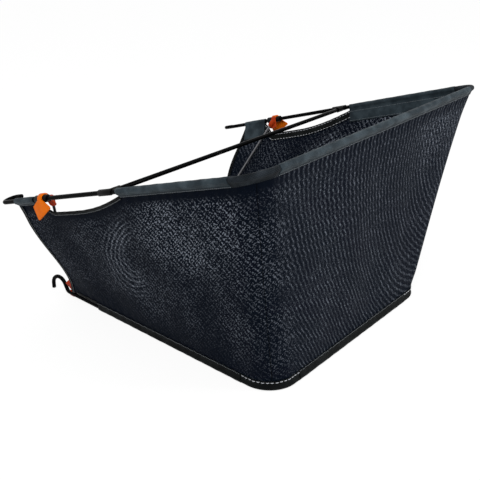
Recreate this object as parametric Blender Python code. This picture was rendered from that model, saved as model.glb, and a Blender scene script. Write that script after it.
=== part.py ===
"""Grass box of a hand reel mower.

A bag of see-through mesh hangs between two bent steel rods. The upper rod is the wider one
and rises to the rear, the lower one lies level, and both end in hooks at the mower's side,
where the bag is open. X runs across (+X is the left of the person who pushes the mower),
Y from the mower to the rear, Z up. The lower rod's axis lies in the plane z = 0.
"""
import math

import bmesh
import bpy
from mathutils import Matrix, Vector

# Driving dimensions, in metres and degrees

# Bent rods: widths and places of their axes
ROD_DIAMETER = 0.0075
TOP_FRONT_WIDTH = 0.634
TOP_REAR_WIDTH = 0.672
TOP_FRONT_Y = -0.010
TOP_FRONT_Z = 0.217
TOP_REAR_Y = 0.556
TOP_REAR_Z = 0.388
TOP_CORNER_RADIUS = 0.042
BOTTOM_FRONT_WIDTH = 0.400
BOTTOM_REAR_WIDTH = 0.478
BOTTOM_REAR_Y = 0.519
BOTTOM_CORNER_RADIUS = 0.048

# Upper hooks: the rod's end curls inwards and back on itself
TOP_HOOK_STATION = 0.0065
TOP_HOOK_RADIUS = 0.013
TOP_HOOK_LIMB = 0.012
TOP_HOOK_TILT = 7.0

# Lower hooks: the rod's end rises, turns over and drops
LOW_HOOK_BEND_RADIUS = 0.008
LOW_HOOK_RISE_ANGLE = 62.0
LOW_HOOK_RISE = 0.0117
LOW_HOOK_RADIUS = 0.0184
LOW_HOOK_DROP = 0.0106

# Cross bar, its snap saddles, and the struts
BAR_STATION = 0.296
BAR_DIAMETER = 0.0075
BAR_SADDLE_FORE = 0.0235
BAR_SADDLE_REAR = 0.0075
BAR_SADDLE_WALL = 0.0014
BAR_SOCKET_LENGTH = 0.016
BAR_SOCKET_SHARE = 0.8
SNAP_MOUTH = 0.0058
STRUT_DIAMETER = 0.005

# Upper clips: a collar on the rod, and an orange clip over it
CLIP_STATION = 0.122
COLLAR_FORE = 0.019
COLLAR_REAR = 0.013
COLLAR_WALL = 0.0025
CLIP_THICKNESS = 0.0025
CLIP_STRAP_WIDTH = 0.010
TONGUE_DEPTH = 0.0215
TONGUE_FORE = 0.0103
TONGUE_REAR = 0.0083
TONGUE_CORNER_RADIUS = 0.004
CLIP_SOCKET_WALL = 0.0020
PLATE_FORE_CORNER = (-0.0220, -0.0105)
PLATE_BOTTOM_CORNER = (-0.0164, -0.0347)
PLATE_REAR_CORNER = (0.0245, -0.0150)
PLATE_CORNER_RADIUS = 0.0025
CLIP_SOCKET_DEPTH = 0.012

# Places of the strut's ends in the clips
STRUT_TOP_AHEAD = 0.001
STRUT_TOP_DEPTH = 0.008
STRUT_FOOT_AHEAD = 0.006
STRUT_FOOT_HEIGHT = 0.007

# Lower clips at the bottom front corners
LOW_CLIP_START = 0.002
LOW_CLIP_COLLAR_LENGTH = 0.012
LOW_CLIP_COLLAR_WALL = 0.0015
LOW_CLIP_HEIGHT = 0.021
LOW_CLIP_LENGTH = 0.034
LOW_CLIP_NOSE = 0.008
LOW_CLIP_LAP = 0.0008
LOW_CLIP_THICKNESS = 0.009
LOW_CLIP_INSET = 0.0095
RIVET_STATION = 0.0205
RIVET_HEIGHT = 0.0120
RIVET_DIAMETER = 0.004
RIVET_HEAD_DIAMETER = 0.0065
RIVET_HEAD_HEIGHT = 0.0012

# Cloth
MESH_THICKNESS = 0.0012
SLEEVE_THICKNESS = 0.0010
TAPE_THICKNESS = 0.0008
FLOOR_THICKNESS = 0.0012
WALL_WAIST = 0.006
SEAM_DEPTH = 0.009
SLEEVE_RING_GAP = 0.0005
SLEEVE_OUTER_DEPTH = 0.0105
TOP_SLEEVE_START = 0.314
TOP_SLEEVE_END = 0.544
TOP_SLEEVE_INNER_DEPTH = 0.032
TOP_REAR_SLEEVE_SPAN = 0.578
TAB_START = 0.039
TAB_END = 0.0945
TAB_INNER_DEPTH = 0.038
TAB_CORNER_RADIUS = 0.012
BOTTOM_SLEEVE_START = 0.094
BOTTOM_SLEEVE_END = 0.454
BOTTOM_SLEEVE_DEPTH = 0.0135
BOTTOM_REAR_SLEEVE_SPAN = 0.346
FRONT_EDGE_BOTTOM = 0.0155
FRONT_EDGE_SWAY = 0.0155
EDGE_DIP = 0.0235
EDGE_DIP_FORE_RUN = 0.024
EDGE_DIP_REAR_RUN = 0.124
BINDING_WIDTH = 0.007
EDGE_BINDING_OUTER = 0.005
EDGE_BINDING_INNER = 0.015
HEM_DEPTH = 0.016
FRONT_HEM_START = 0.034
CORNER_TAPE_WIDTH = 0.016
FLOOR_FRONT = 0.045
FLOOR_INSET = 0.0046
FLOOR_HEM_WIDTH = 0.012

# Clearance between touching pieces, and between the ends of neighbouring cloth pieces
GAP = 0.0003
END_GAP = 0.0008

# Place of the seam between a side and the rear, as q: the middle of the rear corner
SEAM_PLACE = 1.5

# Facets
ROD_SIDES = 12
CORNER_STEPS = 10
HOOK_STEPS = 10
SIDE_COLUMNS = 24
REAR_COLUMNS = 16
WALL_ROWS = 10
SLEEVE_STEPS = 6
TAB_STEPS = 8
RING_STEPS = 5
RING_OPENING = 45.0
RING_FACET = 15.0
STRAP_STEPS = 10
SMOOTH_ANGLE = 35.0

UP = Vector((0.0, 0.0, 1.0))
SIDES = {"left": 1, "right": -1}


# Materials

def material(name, colour, roughness, metallic=0.0):
    """A Principled material of one colour."""
    made = bpy.data.materials.new(name)
    made.use_nodes = True
    shader = made.node_tree.nodes["Principled BSDF"]
    shader.inputs["Base Color"].default_value = (*colour, 1.0)
    shader.inputs["Roughness"].default_value = roughness
    shader.inputs["Metallic"].default_value = metallic
    made.diffuse_color = (*colour, 1.0)
    return made


def make_materials():
    """All materials by name."""
    return {
        "rod": material("black_coated_steel", (0.012, 0.012, 0.013), 0.35, 0.2),
        "collar": material("black_plastic", (0.010, 0.010, 0.011), 0.45),
        "clip": material("orange_plastic", (0.85, 0.17, 0.012), 0.40),
        "rivet": material("bright_steel", (0.60, 0.60, 0.62), 0.30, 1.0),
        "mesh": material("navy_mesh", (0.010, 0.014, 0.022), 0.85),
        "nylon": material("grey_nylon", (0.050, 0.062, 0.070), 0.60),
        "tape": material("black_tape", (0.008, 0.008, 0.009), 0.80),
    }


# Bent rods

class Rail:
    """Centre line of a U-shaped rod: two legs, two round corners and a rear bar.

    The place along it is q: 0 to 1 is the left leg from its front end, 1 to 2 the left corner,
    2 to 3 the left half of the rear bar, and 3 to 6 the same mirrored to the right.
    """

    def __init__(self, front, corner, radius):
        self.front = Vector(front)
        self.leg = (Vector(corner) - self.front).normalized()
        self.across = Vector((-1.0, 0.0, 0.0))
        self.turn = self.leg.angle(self.across)
        self.radius = radius
        tangent_length = radius * math.tan(self.turn / 2)
        self.leg_length = (Vector(corner) - self.front).length - tangent_length
        self.inward = (self.across - self.leg * self.across.dot(self.leg)).normalized()
        self.bar_start = Vector(corner) + self.across * tangent_length

    def length(self, q):
        """Length of rod for each unit of q."""
        piece = min(q, 6 - q)
        if piece < 1:
            return self.leg_length
        if piece < 2:
            return self.turn * self.radius
        return self.bar_start.x

    def place(self, q):
        """Point and direction of the centre line at q."""
        if q > 3:
            point, direction = self.place(6 - q)
            return on_side(point, -1), -on_side(direction, -1)
        if q <= 1:
            return self.front + self.leg * self.leg_length * q, self.leg.copy()
        if q <= 2:
            angle = self.turn * (q - 1)
            corner_start = self.front + self.leg * self.leg_length
            bent = self.leg * math.sin(angle) + self.inward * (1 - math.cos(angle))
            direction = self.leg * math.cos(angle) + self.inward * math.sin(angle)
            return corner_start + bent * self.radius, direction
        return self.bar_start + self.across * self.bar_start.x * (q - 2), self.across.copy()

    def shifted(self, q, distance):
        """The q at a distance along the rod from another q."""
        if q > 3:
            return 6 - self.shifted(6 - q, -distance)
        lengths = [self.length(piece) for piece in range(3)]
        whole = int(q)
        run = sum(lengths[:whole]) + (q - whole) * self.length(q) + distance
        piece = 0
        while piece < 2 and run > lengths[piece]:
            run -= lengths[piece]
            piece += 1
        return piece + run / lengths[piece]

    def at_station(self, distance):
        """The q of a distance from the front end along a leg."""
        return distance / self.leg_length

    def at_half_span(self, half_span):
        """The q of a distance from the middle of the rear bar, on the left."""
        return 3 - half_span / self.bar_start.x

    def corner_points(self):
        """Points of the left corner's arc, from the leg to the rear bar."""
        return [self.place(1 + step / CORNER_STEPS)[0] for step in range(CORNER_STEPS + 1)]


def on_side(vector, side):
    """A vector of the left side, or its mirror image on the right."""
    return Vector((vector.x * side, vector.y, vector.z))


TOP = Rail((TOP_FRONT_WIDTH / 2, TOP_FRONT_Y, TOP_FRONT_Z),
           (TOP_REAR_WIDTH / 2, TOP_REAR_Y, TOP_REAR_Z), TOP_CORNER_RADIUS)
BOTTOM = Rail((BOTTOM_FRONT_WIDTH / 2, 0.0, 0.0),
              (BOTTOM_REAR_WIDTH / 2, BOTTOM_REAR_Y, 0.0), BOTTOM_CORNER_RADIUS)


def rod(name, points, diameter, finish):
    """A round rod along a line of points."""
    curve = bpy.data.curves.new(name, "CURVE")
    curve.dimensions = "3D"
    curve.bevel_depth = diameter / 2
    curve.bevel_resolution = (ROD_SIDES - 4) // 2
    curve.use_fill_caps = True
    spline = curve.splines.new("POLY")
    spline.points.add(len(points) - 1)
    for knot, point in zip(spline.points, points):
        knot.co = (*point, 1.0)
    curve.materials.append(finish)
    made = bpy.data.objects.new(name, curve)
    bpy.context.scene.collection.objects.link(made)
    return made


def both_halves(half):
    """A line of points from the left end to the middle, carried on to the right end."""
    return half + [on_side(point, -1) for point in reversed(half)]


def top_frame(finish):
    """The wide rod with its ends curled inwards into hooks."""
    tilt = math.radians(TOP_HOOK_TILT)
    above = TOP.leg.cross(TOP.inward)
    aside = TOP.inward * math.cos(tilt) + above * math.sin(tilt)
    start = TOP.front + TOP.leg * TOP_HOOK_STATION
    curl = []
    for step in range(HOOK_STEPS + 1):
        angle = math.pi * step / HOOK_STEPS
        ahead = -TOP.leg * math.sin(angle) + aside * (1 - math.cos(angle))
        curl.append(start + ahead * TOP_HOOK_RADIUS)
    limb_end = curl[-1] + TOP.leg * TOP_HOOK_LIMB
    return rod("top_frame", both_halves([limb_end] + curl[::-1] + TOP.corner_points()), ROD_DIAMETER, finish)


def bottom_frame(finish):
    """The narrow level rod with its ends raised and turned over into hooks."""
    ahead = Vector((0.0, -1.0, 0.0))
    rise = math.radians(LOW_HOOK_RISE_ANGLE)
    bend = []
    for step in range(HOOK_STEPS // 2 + 1):
        angle = rise * step / (HOOK_STEPS // 2)
        lifted = ahead * math.sin(angle) + UP * (1 - math.cos(angle))
        bend.append(BOTTOM.front + lifted * LOW_HOOK_BEND_RADIUS)
    crest = bend[-1] + (ahead * math.cos(rise) + UP * math.sin(rise)) * LOW_HOOK_RISE
    centre = crest + (ahead * math.sin(rise) - UP * math.cos(rise)) * LOW_HOOK_RADIUS
    over = []
    for step in range(HOOK_STEPS + 1):
        lean = rise - (math.pi / 2 + rise) * step / HOOK_STEPS
        over.append(centre + (UP * math.cos(lean) - ahead * math.sin(lean)) * LOW_HOOK_RADIUS)
    tip = over[-1] - UP * LOW_HOOK_DROP
    half = [tip] + over[::-1] + bend[::-1] + BOTTOM.corner_points()
    return rod("bottom_frame", both_halves(half), ROD_DIAMETER, finish)


# Solids

def solid(name, form, finish):
    """A linked object of a bmesh, with its faces outwards and its round parts smooth."""
    bmesh.ops.recalc_face_normals(form, faces=form.faces)
    mesh = bpy.data.meshes.new(name)
    form.to_mesh(mesh)
    form.free()
    mesh.shade_smooth()
    mesh.set_sharp_from_angle(angle=math.radians(SMOOTH_ANGLE))
    mesh.materials.append(finish)
    made = bpy.data.objects.new(name, mesh)
    bpy.context.scene.collection.objects.link(made)
    return made


def cylinder(name, start, end, radius, finish, sides=24):
    """A round bar between two points."""
    axis = end - start
    turned = axis.to_track_quat("Z", "Y").to_matrix().to_4x4()
    form = bmesh.new()
    bmesh.ops.create_cone(form, cap_ends=True, segments=sides, radius1=radius, radius2=radius,
                          depth=axis.length, matrix=Matrix.Translation((start + end) / 2) @ turned)
    return solid(name, form, finish)


def prism(name, outline, depth, finish):
    """An outline of points carried along a depth vector."""
    form = bmesh.new()
    face = form.faces.new([form.verts.new(point) for point in outline])
    carried = bmesh.ops.extrude_face_region(form, geom=[face])
    verts = [item for item in carried["geom"] if isinstance(item, bmesh.types.BMVert)]
    bmesh.ops.translate(form, verts=verts, vec=depth)
    return solid(name, form, finish)


def combine(base, other, operation):
    """Join another solid to the base, or cut it away, and remove it."""
    step = base.modifiers.new("combine", "BOOLEAN")
    step.operation = operation
    step.object = other
    mesh = bpy.data.meshes.new_from_object(base.evaluated_get(bpy.context.evaluated_depsgraph_get()))
    base.modifiers.clear()
    base.data = mesh
    mesh.set_sharp_from_angle(angle=math.radians(SMOOTH_ANGLE))
    bpy.data.objects.remove(other)


def rounded(corners, radius, steps=4):
    """A 2-D outline with its corners rounded."""
    outline = []
    for index, corner in enumerate(corners):
        here = Vector(corner)
        before = (Vector(corners[index - 1]) - here).normalized()
        after = (Vector(corners[(index + 1) % len(corners)]) - here).normalized()
        half = before.angle(after) / 2
        centre = here + (before + after).normalized() * radius / math.sin(half)
        first = here + before * radius / math.tan(half) - centre
        last = here + after * radius / math.tan(half) - centre
        for step in range(steps + 1):
            share = step / steps
            outline.append(centre + first.lerp(last, share).normalized() * radius)
    return outline


# Wall of the bag: the ruled surface between the two rods

def ruling(q):
    """Top point, and the vector down to the bottom rod."""
    top = TOP.place(q)[0]
    return top, BOTTOM.place(q)[0] - top


def wall(q, share):
    """Point and outward normal of the wall's middle surface, a share of the way down."""
    top, down = ruling(q)
    along = TOP.place(q)[1].lerp(BOTTOM.place(q)[1], share)
    normal = down.cross(along).normalized()
    waist = WALL_WAIST * math.sin(math.pi * share)
    return top + down * share - normal * waist, normal


def across_rod(rail, q):
    """At q of a rod: its point, its direction, and the directions into the wall and out of the bag."""
    point, along = rail.place(q)
    down = ruling(q)[1].normalized()
    into = down if rail is TOP else -down
    outward = down.cross(along).normalized()
    return point, along, (into - along * into.dot(along)).normalized(), outward


def share_at(rail, q, depth):
    """Share of the way down the wall at a depth, measured square to one of the rods."""
    along = rail.place(q)[1]
    down = ruling(q)[1]
    slant = along.cross(down).length
    return depth / slant if rail is TOP else 1 - depth / slant


def square_place(rail, q, depth):
    """The wall's q and share at a depth, in the plane square to the rod at q."""
    along = rail.place(q)[1]
    down = ruling(q)[1]
    slant = along.cross(down).length
    drift = depth * along.dot(down) / slant
    moved = rail.shifted(q, -drift if rail is TOP else drift)
    return moved, share_at(rail, moved, depth)


def below_rod(rail, q, depth):
    """Point and normal of the wall at a depth, in the plane square to the rod at q."""
    return wall(*square_place(rail, q, depth))


def within_one(value):
    """A value held between 0 and 1."""
    return min(max(value, 0.0), 1.0)


def smooth_step(value):
    """Rise from 0 to 1 with level ends."""
    value = within_one(value)
    return value * value * (3 - 2 * value)


def top_edge_depth(q):
    """Depth of the wall's upper edge under the top rod: it dips between the tab and the sleeve."""
    station = min(q, 6 - q) * TOP.leg_length
    fore = smooth_step((station - TAB_END) / EDGE_DIP_FORE_RUN)
    rear = math.sin(math.pi / 2 * within_one((TOP_SLEEVE_START - station) / EDGE_DIP_REAR_RUN))
    return SEAM_DEPTH + EDGE_DIP * fore * rear


def spread(first, last, steps):
    """Evenly spaced values from first to last."""
    return [first + (last - first) * step / steps for step in range(steps + 1)]


def closed_sheet(name, outer, inner, finish, side=1):
    """A closed solid between two grids of points, made on the left or mirrored to the right."""
    form = bmesh.new()
    grids = [[[form.verts.new(on_side(point, side)) for point in row] for row in grid]
             for grid in (outer, inner)]
    rows = len(outer)
    columns = len(outer[0])
    for grid in grids:
        for row in range(rows - 1):
            for column in range(columns - 1):
                form.faces.new((grid[row][column], grid[row][column + 1],
                                grid[row + 1][column + 1], grid[row + 1][column]))
    rim = [(0, column) for column in range(columns)]
    rim += [(row, columns - 1) for row in range(1, rows)]
    rim += [(rows - 1, column) for column in range(columns - 2, -1, -1)]
    rim += [(row, 0) for row in range(rows - 2, 0, -1)]
    for index, (row, column) in enumerate(rim):
        next_row, next_column = rim[(index + 1) % len(rim)]
        form.faces.new((grids[0][row][column], grids[0][next_row][next_column],
                        grids[1][next_row][next_column], grids[1][row][column]))
    return solid(name, form, finish)


def edge_sway(part):
    """How far, as q, the front edge leaves a straight line: ahead above the middle, back below."""
    length = (TOP.leg_length + BOTTOM.leg_length) / 2
    return -FRONT_EDGE_SWAY / length * part * math.sin(2 * math.pi * part)


def sheet_in_wall(name, columns, rows, offset, thickness, finish, side=1, sway=None):
    """A sheet along the wall: columns hold the q and share of their upper and lower ends.

    sway holds each column's share of the front edge's sway.
    """
    outer = []
    inner = []
    for (upper_q, upper_share, lower_q, lower_share), follow in zip(columns, sway or [0.0] * len(columns)):
        outer.append([])
        inner.append([])
        for step in range(rows + 1):
            part = step / rows
            point, normal = wall(upper_q + (lower_q - upper_q) * part + edge_sway(part) * follow,
                                 upper_share + (lower_share - upper_share) * part)
            outer[-1].append(point + normal * (offset + thickness / 2))
            inner[-1].append(point + normal * (offset - thickness / 2))
    return closed_sheet(name, outer, inner, finish, side)


def panel_columns(upper, lower):
    """Columns of a mesh panel between its upper and lower edges."""
    return [(*square_place(TOP, top_q, top_edge_depth(top_q)), *square_place(BOTTOM, low_q, SEAM_DEPTH))
            for top_q, low_q in zip(upper, lower)]


def seam_q():
    """The q of the seam between a side and the rear, half its gap away from the corner's middle."""
    return SEAM_PLACE - END_GAP / 2 / TOP.length(SEAM_PLACE)


def side_columns():
    """Upper and lower q of the columns of the left side panel."""
    corner = spread(1, seam_q(), CORNER_STEPS // 2)
    upper = spread(TOP.at_station(TAB_START), 1, SIDE_COLUMNS)[:-1] + corner
    lower = spread(BOTTOM.at_station(FRONT_EDGE_BOTTOM), 1, SIDE_COLUMNS)[:-1] + corner
    return upper, lower


def side_panel(side_name, finish):
    """Mesh side of the bag, with half of the rear corner."""
    upper, lower = side_columns()
    sway = [max(0.0, 1 - index / SIDE_COLUMNS) ** 2 for index in range(len(upper))]
    return sheet_in_wall(f"side_panel_{side_name}", panel_columns(upper, lower), WALL_ROWS,
                         0.0, MESH_THICKNESS, finish, SIDES[side_name], sway)


def rear_panel(finish):
    """Mesh rear of the bag, with half of each rear corner."""
    first = 3 - seam_q()
    places = spread(first, 2, CORNER_STEPS // 2)[:-1] + spread(2, 4, REAR_COLUMNS)[:-1]
    places += spread(4, 6 - first, CORNER_STEPS // 2)
    return sheet_in_wall("rear_panel", panel_columns(places, places), WALL_ROWS,
                         0.0, MESH_THICKNESS, finish)


def corner_tape(side_name, finish):
    """Tape inside a rear corner, over the seam of the side and the rear."""
    half = CORNER_TAPE_WIDTH / 2 / TOP.length(SEAM_PLACE)
    columns = [(*square_place(TOP, q, HEM_DEPTH + END_GAP), *square_place(BOTTOM, q, HEM_DEPTH + END_GAP))
               for q in spread(SEAM_PLACE - half, SEAM_PLACE + half, 4)]
    offset = -(MESH_THICKNESS / 2 + GAP + TAPE_THICKNESS / 2)
    return sheet_in_wall(f"corner_tape_{side_name}", columns, WALL_ROWS, offset, TAPE_THICKNESS,
                         finish, SIDES[side_name])


# Sleeves on the rods

def sleeve(name, rail, places, inner_depths, outer_depth, inner_stand, finish, side=1):
    """A strip folded round a rod, its two legs on either side of the wall's edge.

    inner_depths holds the inner leg's depth at each place, and inner_stand is the distance
    from the wall's middle to that leg's middle.
    """
    half = SLEEVE_THICKNESS / 2
    ring_radius = ROD_DIAMETER / 2 + SLEEVE_RING_GAP + half
    outer_stand = MESH_THICKNESS / 2 + GAP + half
    leg_start = SEAM_DEPTH - END_GAP / 2
    faces = {1: [], -1: []}
    for q, inner_depth in zip(places, inner_depths):
        point, along, into, outward = across_rod(rail, q)
        flat = math.atan2(-UP.dot(outward), -UP.dot(into)) if rail is BOTTOM else math.pi
        opening = math.radians(RING_OPENING)
        facet = math.radians(RING_FACET)
        angles = spread(opening, flat - facet, RING_STEPS)
        angles += spread(flat + facet, 2 * math.pi - opening, RING_STEPS)
        for face, rows in faces.items():
            row = []
            for depth in (outer_depth, leg_start):
                spot, normal = below_rod(rail, q, depth)
                row.append(spot + normal * (outer_stand + half * face))
            for angle in angles:
                towards = into * math.cos(angle) + outward * math.sin(angle)
                row.append(point + towards * (ring_radius + half * face))
            for depth in (leg_start, (leg_start + inner_depth) / 2, inner_depth):
                spot, normal = below_rod(rail, q, depth)
                row.append(spot - normal * (inner_stand + half * face))
            rows.append(row)
    return closed_sheet(name, faces[1], faces[-1], finish, side)


def plain_stand():
    """Distance from the wall's middle to the middle of a sleeve's leg that lies on it."""
    return MESH_THICKNESS / 2 + GAP + SLEEVE_THICKNESS / 2


def top_sleeves(finish):
    """Grey sleeves on the legs and on the rear bar of the top rod."""
    places = spread(TOP.at_station(TOP_SLEEVE_START), TOP.at_station(TOP_SLEEVE_END), SLEEVE_STEPS)
    depths = [TOP_SLEEVE_INNER_DEPTH] * len(places)
    for side_name, side in SIDES.items():
        sleeve(f"top_sleeve_{side_name}", TOP, places, depths, SLEEVE_OUTER_DEPTH,
               plain_stand(), finish, side)
    first = TOP.at_half_span(TOP_REAR_SLEEVE_SPAN / 2)
    places = spread(first, 6 - first, SLEEVE_STEPS)
    sleeve("top_sleeve_rear", TOP, places, depths, SLEEVE_OUTER_DEPTH, plain_stand(), finish)


def tabs(finish):
    """Short grey sleeves near the front hooks, their inner flap rounded at the rear."""
    places = spread(TOP.at_station(TAB_START), TOP.at_station(TAB_END), TAB_STEPS)
    depths = []
    for step in range(TAB_STEPS + 1):
        into_corner = max(0.0, (step / TAB_STEPS - 1) * (TAB_END - TAB_START) + TAB_CORNER_RADIUS)
        rise = TAB_CORNER_RADIUS - math.sqrt(TAB_CORNER_RADIUS ** 2 - into_corner ** 2)
        depths.append(TAB_INNER_DEPTH - rise)
    stand = plain_stand() + TAPE_THICKNESS + GAP
    for side_name, side in SIDES.items():
        sleeve(f"tab_{side_name}", TOP, places, depths, SLEEVE_OUTER_DEPTH, stand, finish, side)


def bottom_sleeves(finish):
    """Black sleeves on the bottom rod, each with a flat underside."""
    places = spread(BOTTOM.at_station(BOTTOM_SLEEVE_START), BOTTOM.at_station(BOTTOM_SLEEVE_END),
                    SLEEVE_STEPS)
    depths = [BOTTOM_SLEEVE_DEPTH] * len(places)
    for side_name, side in SIDES.items():
        sleeve(f"bottom_sleeve_{side_name}", BOTTOM, places, depths, BOTTOM_SLEEVE_DEPTH,
               plain_stand(), finish, side)
    first = BOTTOM.at_half_span(BOTTOM_REAR_SLEEVE_SPAN / 2)
    places = spread(first, 6 - first, SLEEVE_STEPS)
    sleeve("bottom_sleeve_rear", BOTTOM, places, depths, BOTTOM_SLEEVE_DEPTH, plain_stand(), finish)


# Folded tapes on free edges

def folded_tape(name, sections, outer_width, inner_width, lap, sheet_thickness, finish, side=1):
    """A tape folded over an edge.

    Each section gives the point and normal of the sheet at a distance inwards from its edge,
    and lap is the distance from the edge out to the fold.
    """
    near = sheet_thickness / 2 + GAP
    far = near + TAPE_THICKNESS
    outer = []
    inner = []
    for section in sections:
        for rows, stand, fold in ((outer, far, -lap - TAPE_THICKNESS), (inner, near, -lap)):
            row = []
            for distance, offset in ((outer_width, stand), (fold, stand),
                                     (fold, -stand), (inner_width, -stand)):
                point, normal = section(distance)
                row.append(point + normal * offset)
            rows.append(row)
    return closed_sheet(name, outer, inner, finish, side)


def rod_hem(name, rail, places, finish, side):
    """Hem of the wall beside a bare stretch of rod."""
    lap = SEAM_DEPTH - ROD_DIAMETER / 2 - GAP - TAPE_THICKNESS
    sections = [lambda distance, q=q: below_rod(rail, q, SEAM_DEPTH + distance) for q in places]
    width = HEM_DEPTH - SEAM_DEPTH
    folded_tape(name, sections, width, width, lap, MESH_THICKNESS, finish, side)


def hems(finish):
    """Hems round the rear corners of both rods, and ahead of the bottom sleeves."""
    for side_name, side in SIDES.items():
        for label, rail, leg_end, bar_end in (
                ("top", TOP, TOP_SLEEVE_END, TOP_REAR_SLEEVE_SPAN / 2),
                ("bottom", BOTTOM, BOTTOM_SLEEVE_END, BOTTOM_REAR_SLEEVE_SPAN / 2)):
            first = rail.at_station(leg_end + END_GAP)
            last = rail.at_half_span(bar_end + END_GAP)
            places = [first] + spread(1, 2, CORNER_STEPS) + [last]
            rod_hem(f"{label}_hem_{side_name}", rail, places, finish, side)
        places = spread(BOTTOM.at_station(FRONT_HEM_START),
                        BOTTOM.at_station(BOTTOM_SLEEVE_START - END_GAP), 3)
        rod_hem(f"front_hem_{side_name}", BOTTOM, places, finish, side)


def edge_bindings(finish):
    """Tapes over the dipping upper edges of the sides, between tab and sleeve."""
    upper = [q for q in side_columns()[0]
             if TAB_END + END_GAP < q * TOP.leg_length < TOP_SLEEVE_START - END_GAP]
    places = [TOP.at_station(TAB_END + END_GAP)] + upper + [TOP.at_station(TOP_SLEEVE_START - END_GAP)]
    sections = [lambda distance, q=q: below_rod(TOP, q, top_edge_depth(q) + distance) for q in places]
    for side_name, side in SIDES.items():
        folded_tape(f"edge_binding_{side_name}", sections, EDGE_BINDING_OUTER, EDGE_BINDING_INNER,
                    GAP, MESH_THICKNESS, finish, side)


def front_edge(part, distance):
    """Point and normal of the side panel, inwards from its front edge, at a part of its height."""
    upper, lower = side_columns()
    top_q, top_share = square_place(TOP, upper[0], SEAM_DEPTH)
    low_q, low_share = square_place(BOTTOM, lower[0], SEAM_DEPTH)
    q = top_q + (low_q - top_q) * part + edge_sway(part)
    share = top_share + (low_share - top_share) * part
    point, normal = wall(q, share)
    inwards = TOP.place(q)[1].lerp(BOTTOM.place(q)[1], share).normalized()
    return point + inwards * distance, normal


def front_bindings(finish):
    """Tapes over the front edges of the sides, from the tab down."""
    first = (SLEEVE_OUTER_DEPTH + END_GAP - SEAM_DEPTH) / (ruling(0)[1].length - 2 * SEAM_DEPTH)
    parts = [first] + spread(0, 1, WALL_ROWS)[1:]
    sections = [lambda distance, part=part: front_edge(part, distance) for part in parts]
    for side_name, side in SIDES.items():
        folded_tape(f"front_binding_{side_name}", sections, BINDING_WIDTH, BINDING_WIDTH,
                    GAP, MESH_THICKNESS, finish, side)


# Floor of the bag

def floor_height():
    """Height of the floor's middle: it lies on the bottom sleeves."""
    return ROD_DIAMETER / 2 + SLEEVE_RING_GAP + SLEEVE_THICKNESS + GAP + FLOOR_THICKNESS / 2


def floor_edge(q):
    """Point of the floor's outline, beside the wall's inner face."""
    top = TOP.place(q)[0]
    height = floor_height() + FLOOR_THICKNESS / 2
    point, normal = wall(q, 1 - height / top.z)
    level = Vector((normal.x, normal.y, 0.0)).normalized()
    point = point - level * FLOOR_INSET
    return Vector((point.x, point.y, floor_height() - FLOOR_THICKNESS / 2))


def floor_panel(finish):
    """Closed cloth floor between the walls."""
    front = BOTTOM.at_station(FLOOR_FRONT)
    half = [floor_edge(q) for q in spread(front, 1, 6)[:-1] + spread(1, 2, CORNER_STEPS)]
    half[0].y = FLOOR_FRONT
    outline = half + [on_side(point, -1) for point in reversed(half)]
    return prism("floor_panel", outline, UP * FLOOR_THICKNESS, finish)


def floor_hem(finish):
    """Tape over the floor's free front edge."""
    corner = floor_edge(BOTTOM.at_station(FLOOR_FRONT))
    reach = corner.x - END_GAP

    def section(x):
        return lambda distance: (Vector((x, FLOOR_FRONT + distance, floor_height())), UP)

    sections = [section(x) for x in spread(reach, -reach, 4)]
    return folded_tape("floor_hem", sections, FLOOR_HEM_WIDTH, FLOOR_HEM_WIDTH, GAP, FLOOR_THICKNESS, finish)


# Clips, saddles, bar and struts

class Spot:
    """Local frame at a station of a rod's leg: along it, level outwards, and square to both."""

    def __init__(self, rail, station, side):
        point, along, into, outward = across_rod(rail, rail.at_station(station))
        level = Vector((along.y, -along.x, 0.0)).normalized()
        self.side = side
        self.origin = on_side(point, side)
        self.along = on_side(along, side)
        self.level = on_side(level, side)
        self.above = on_side(level.cross(along), side)
        self.into = on_side(into, side)
        self.outward = on_side(outward, side)

    def at(self, along, level, above):
        """Point at distances along the rod, level outwards and above it."""
        return self.origin + self.along * along + self.level * level + self.above * above

    def in_wall(self, along, outward, into):
        """Point at distances along the rod, out of the bag and into the wall."""
        return self.origin + self.along * along + self.outward * outward + self.into * into


def ring(name, spot, fore, rear, radius, finish):
    """A ring on a rod, from a distance ahead of the spot to one behind it, still solid."""
    return cylinder(name, spot.at(-fore, 0, 0), spot.at(rear, 0, 0), radius, finish)


def open_ring(made, spot, reach, mouth, finish):
    """Cut the rod's bore, and the mouth that lets the ring snap on: two corners across the rod."""
    bore = cylinder("bore", spot.at(-reach, 0, 0), spot.at(reach, 0, 0), ROD_DIAMETER / 2 + GAP, finish)
    combine(made, bore, "DIFFERENCE")
    (level, above), (far_level, far_above) = mouth
    corners = [(level, above), (level, far_above), (far_level, far_above), (far_level, above)]
    outline = [spot.at(-reach, *corner) for corner in corners]
    combine(made, prism("mouth", outline, spot.along * 2 * reach, finish), "DIFFERENCE")


def mouth_below(radius):
    """Corners of a mouth in the underside of a ring."""
    return (-SNAP_MOUTH / 2, 0.0), (SNAP_MOUTH / 2, -2 * radius)


def bar_saddle_radius():
    """Outer radius of a cross bar saddle's ring."""
    return ROD_DIAMETER / 2 + GAP + BAR_SADDLE_WALL


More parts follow.
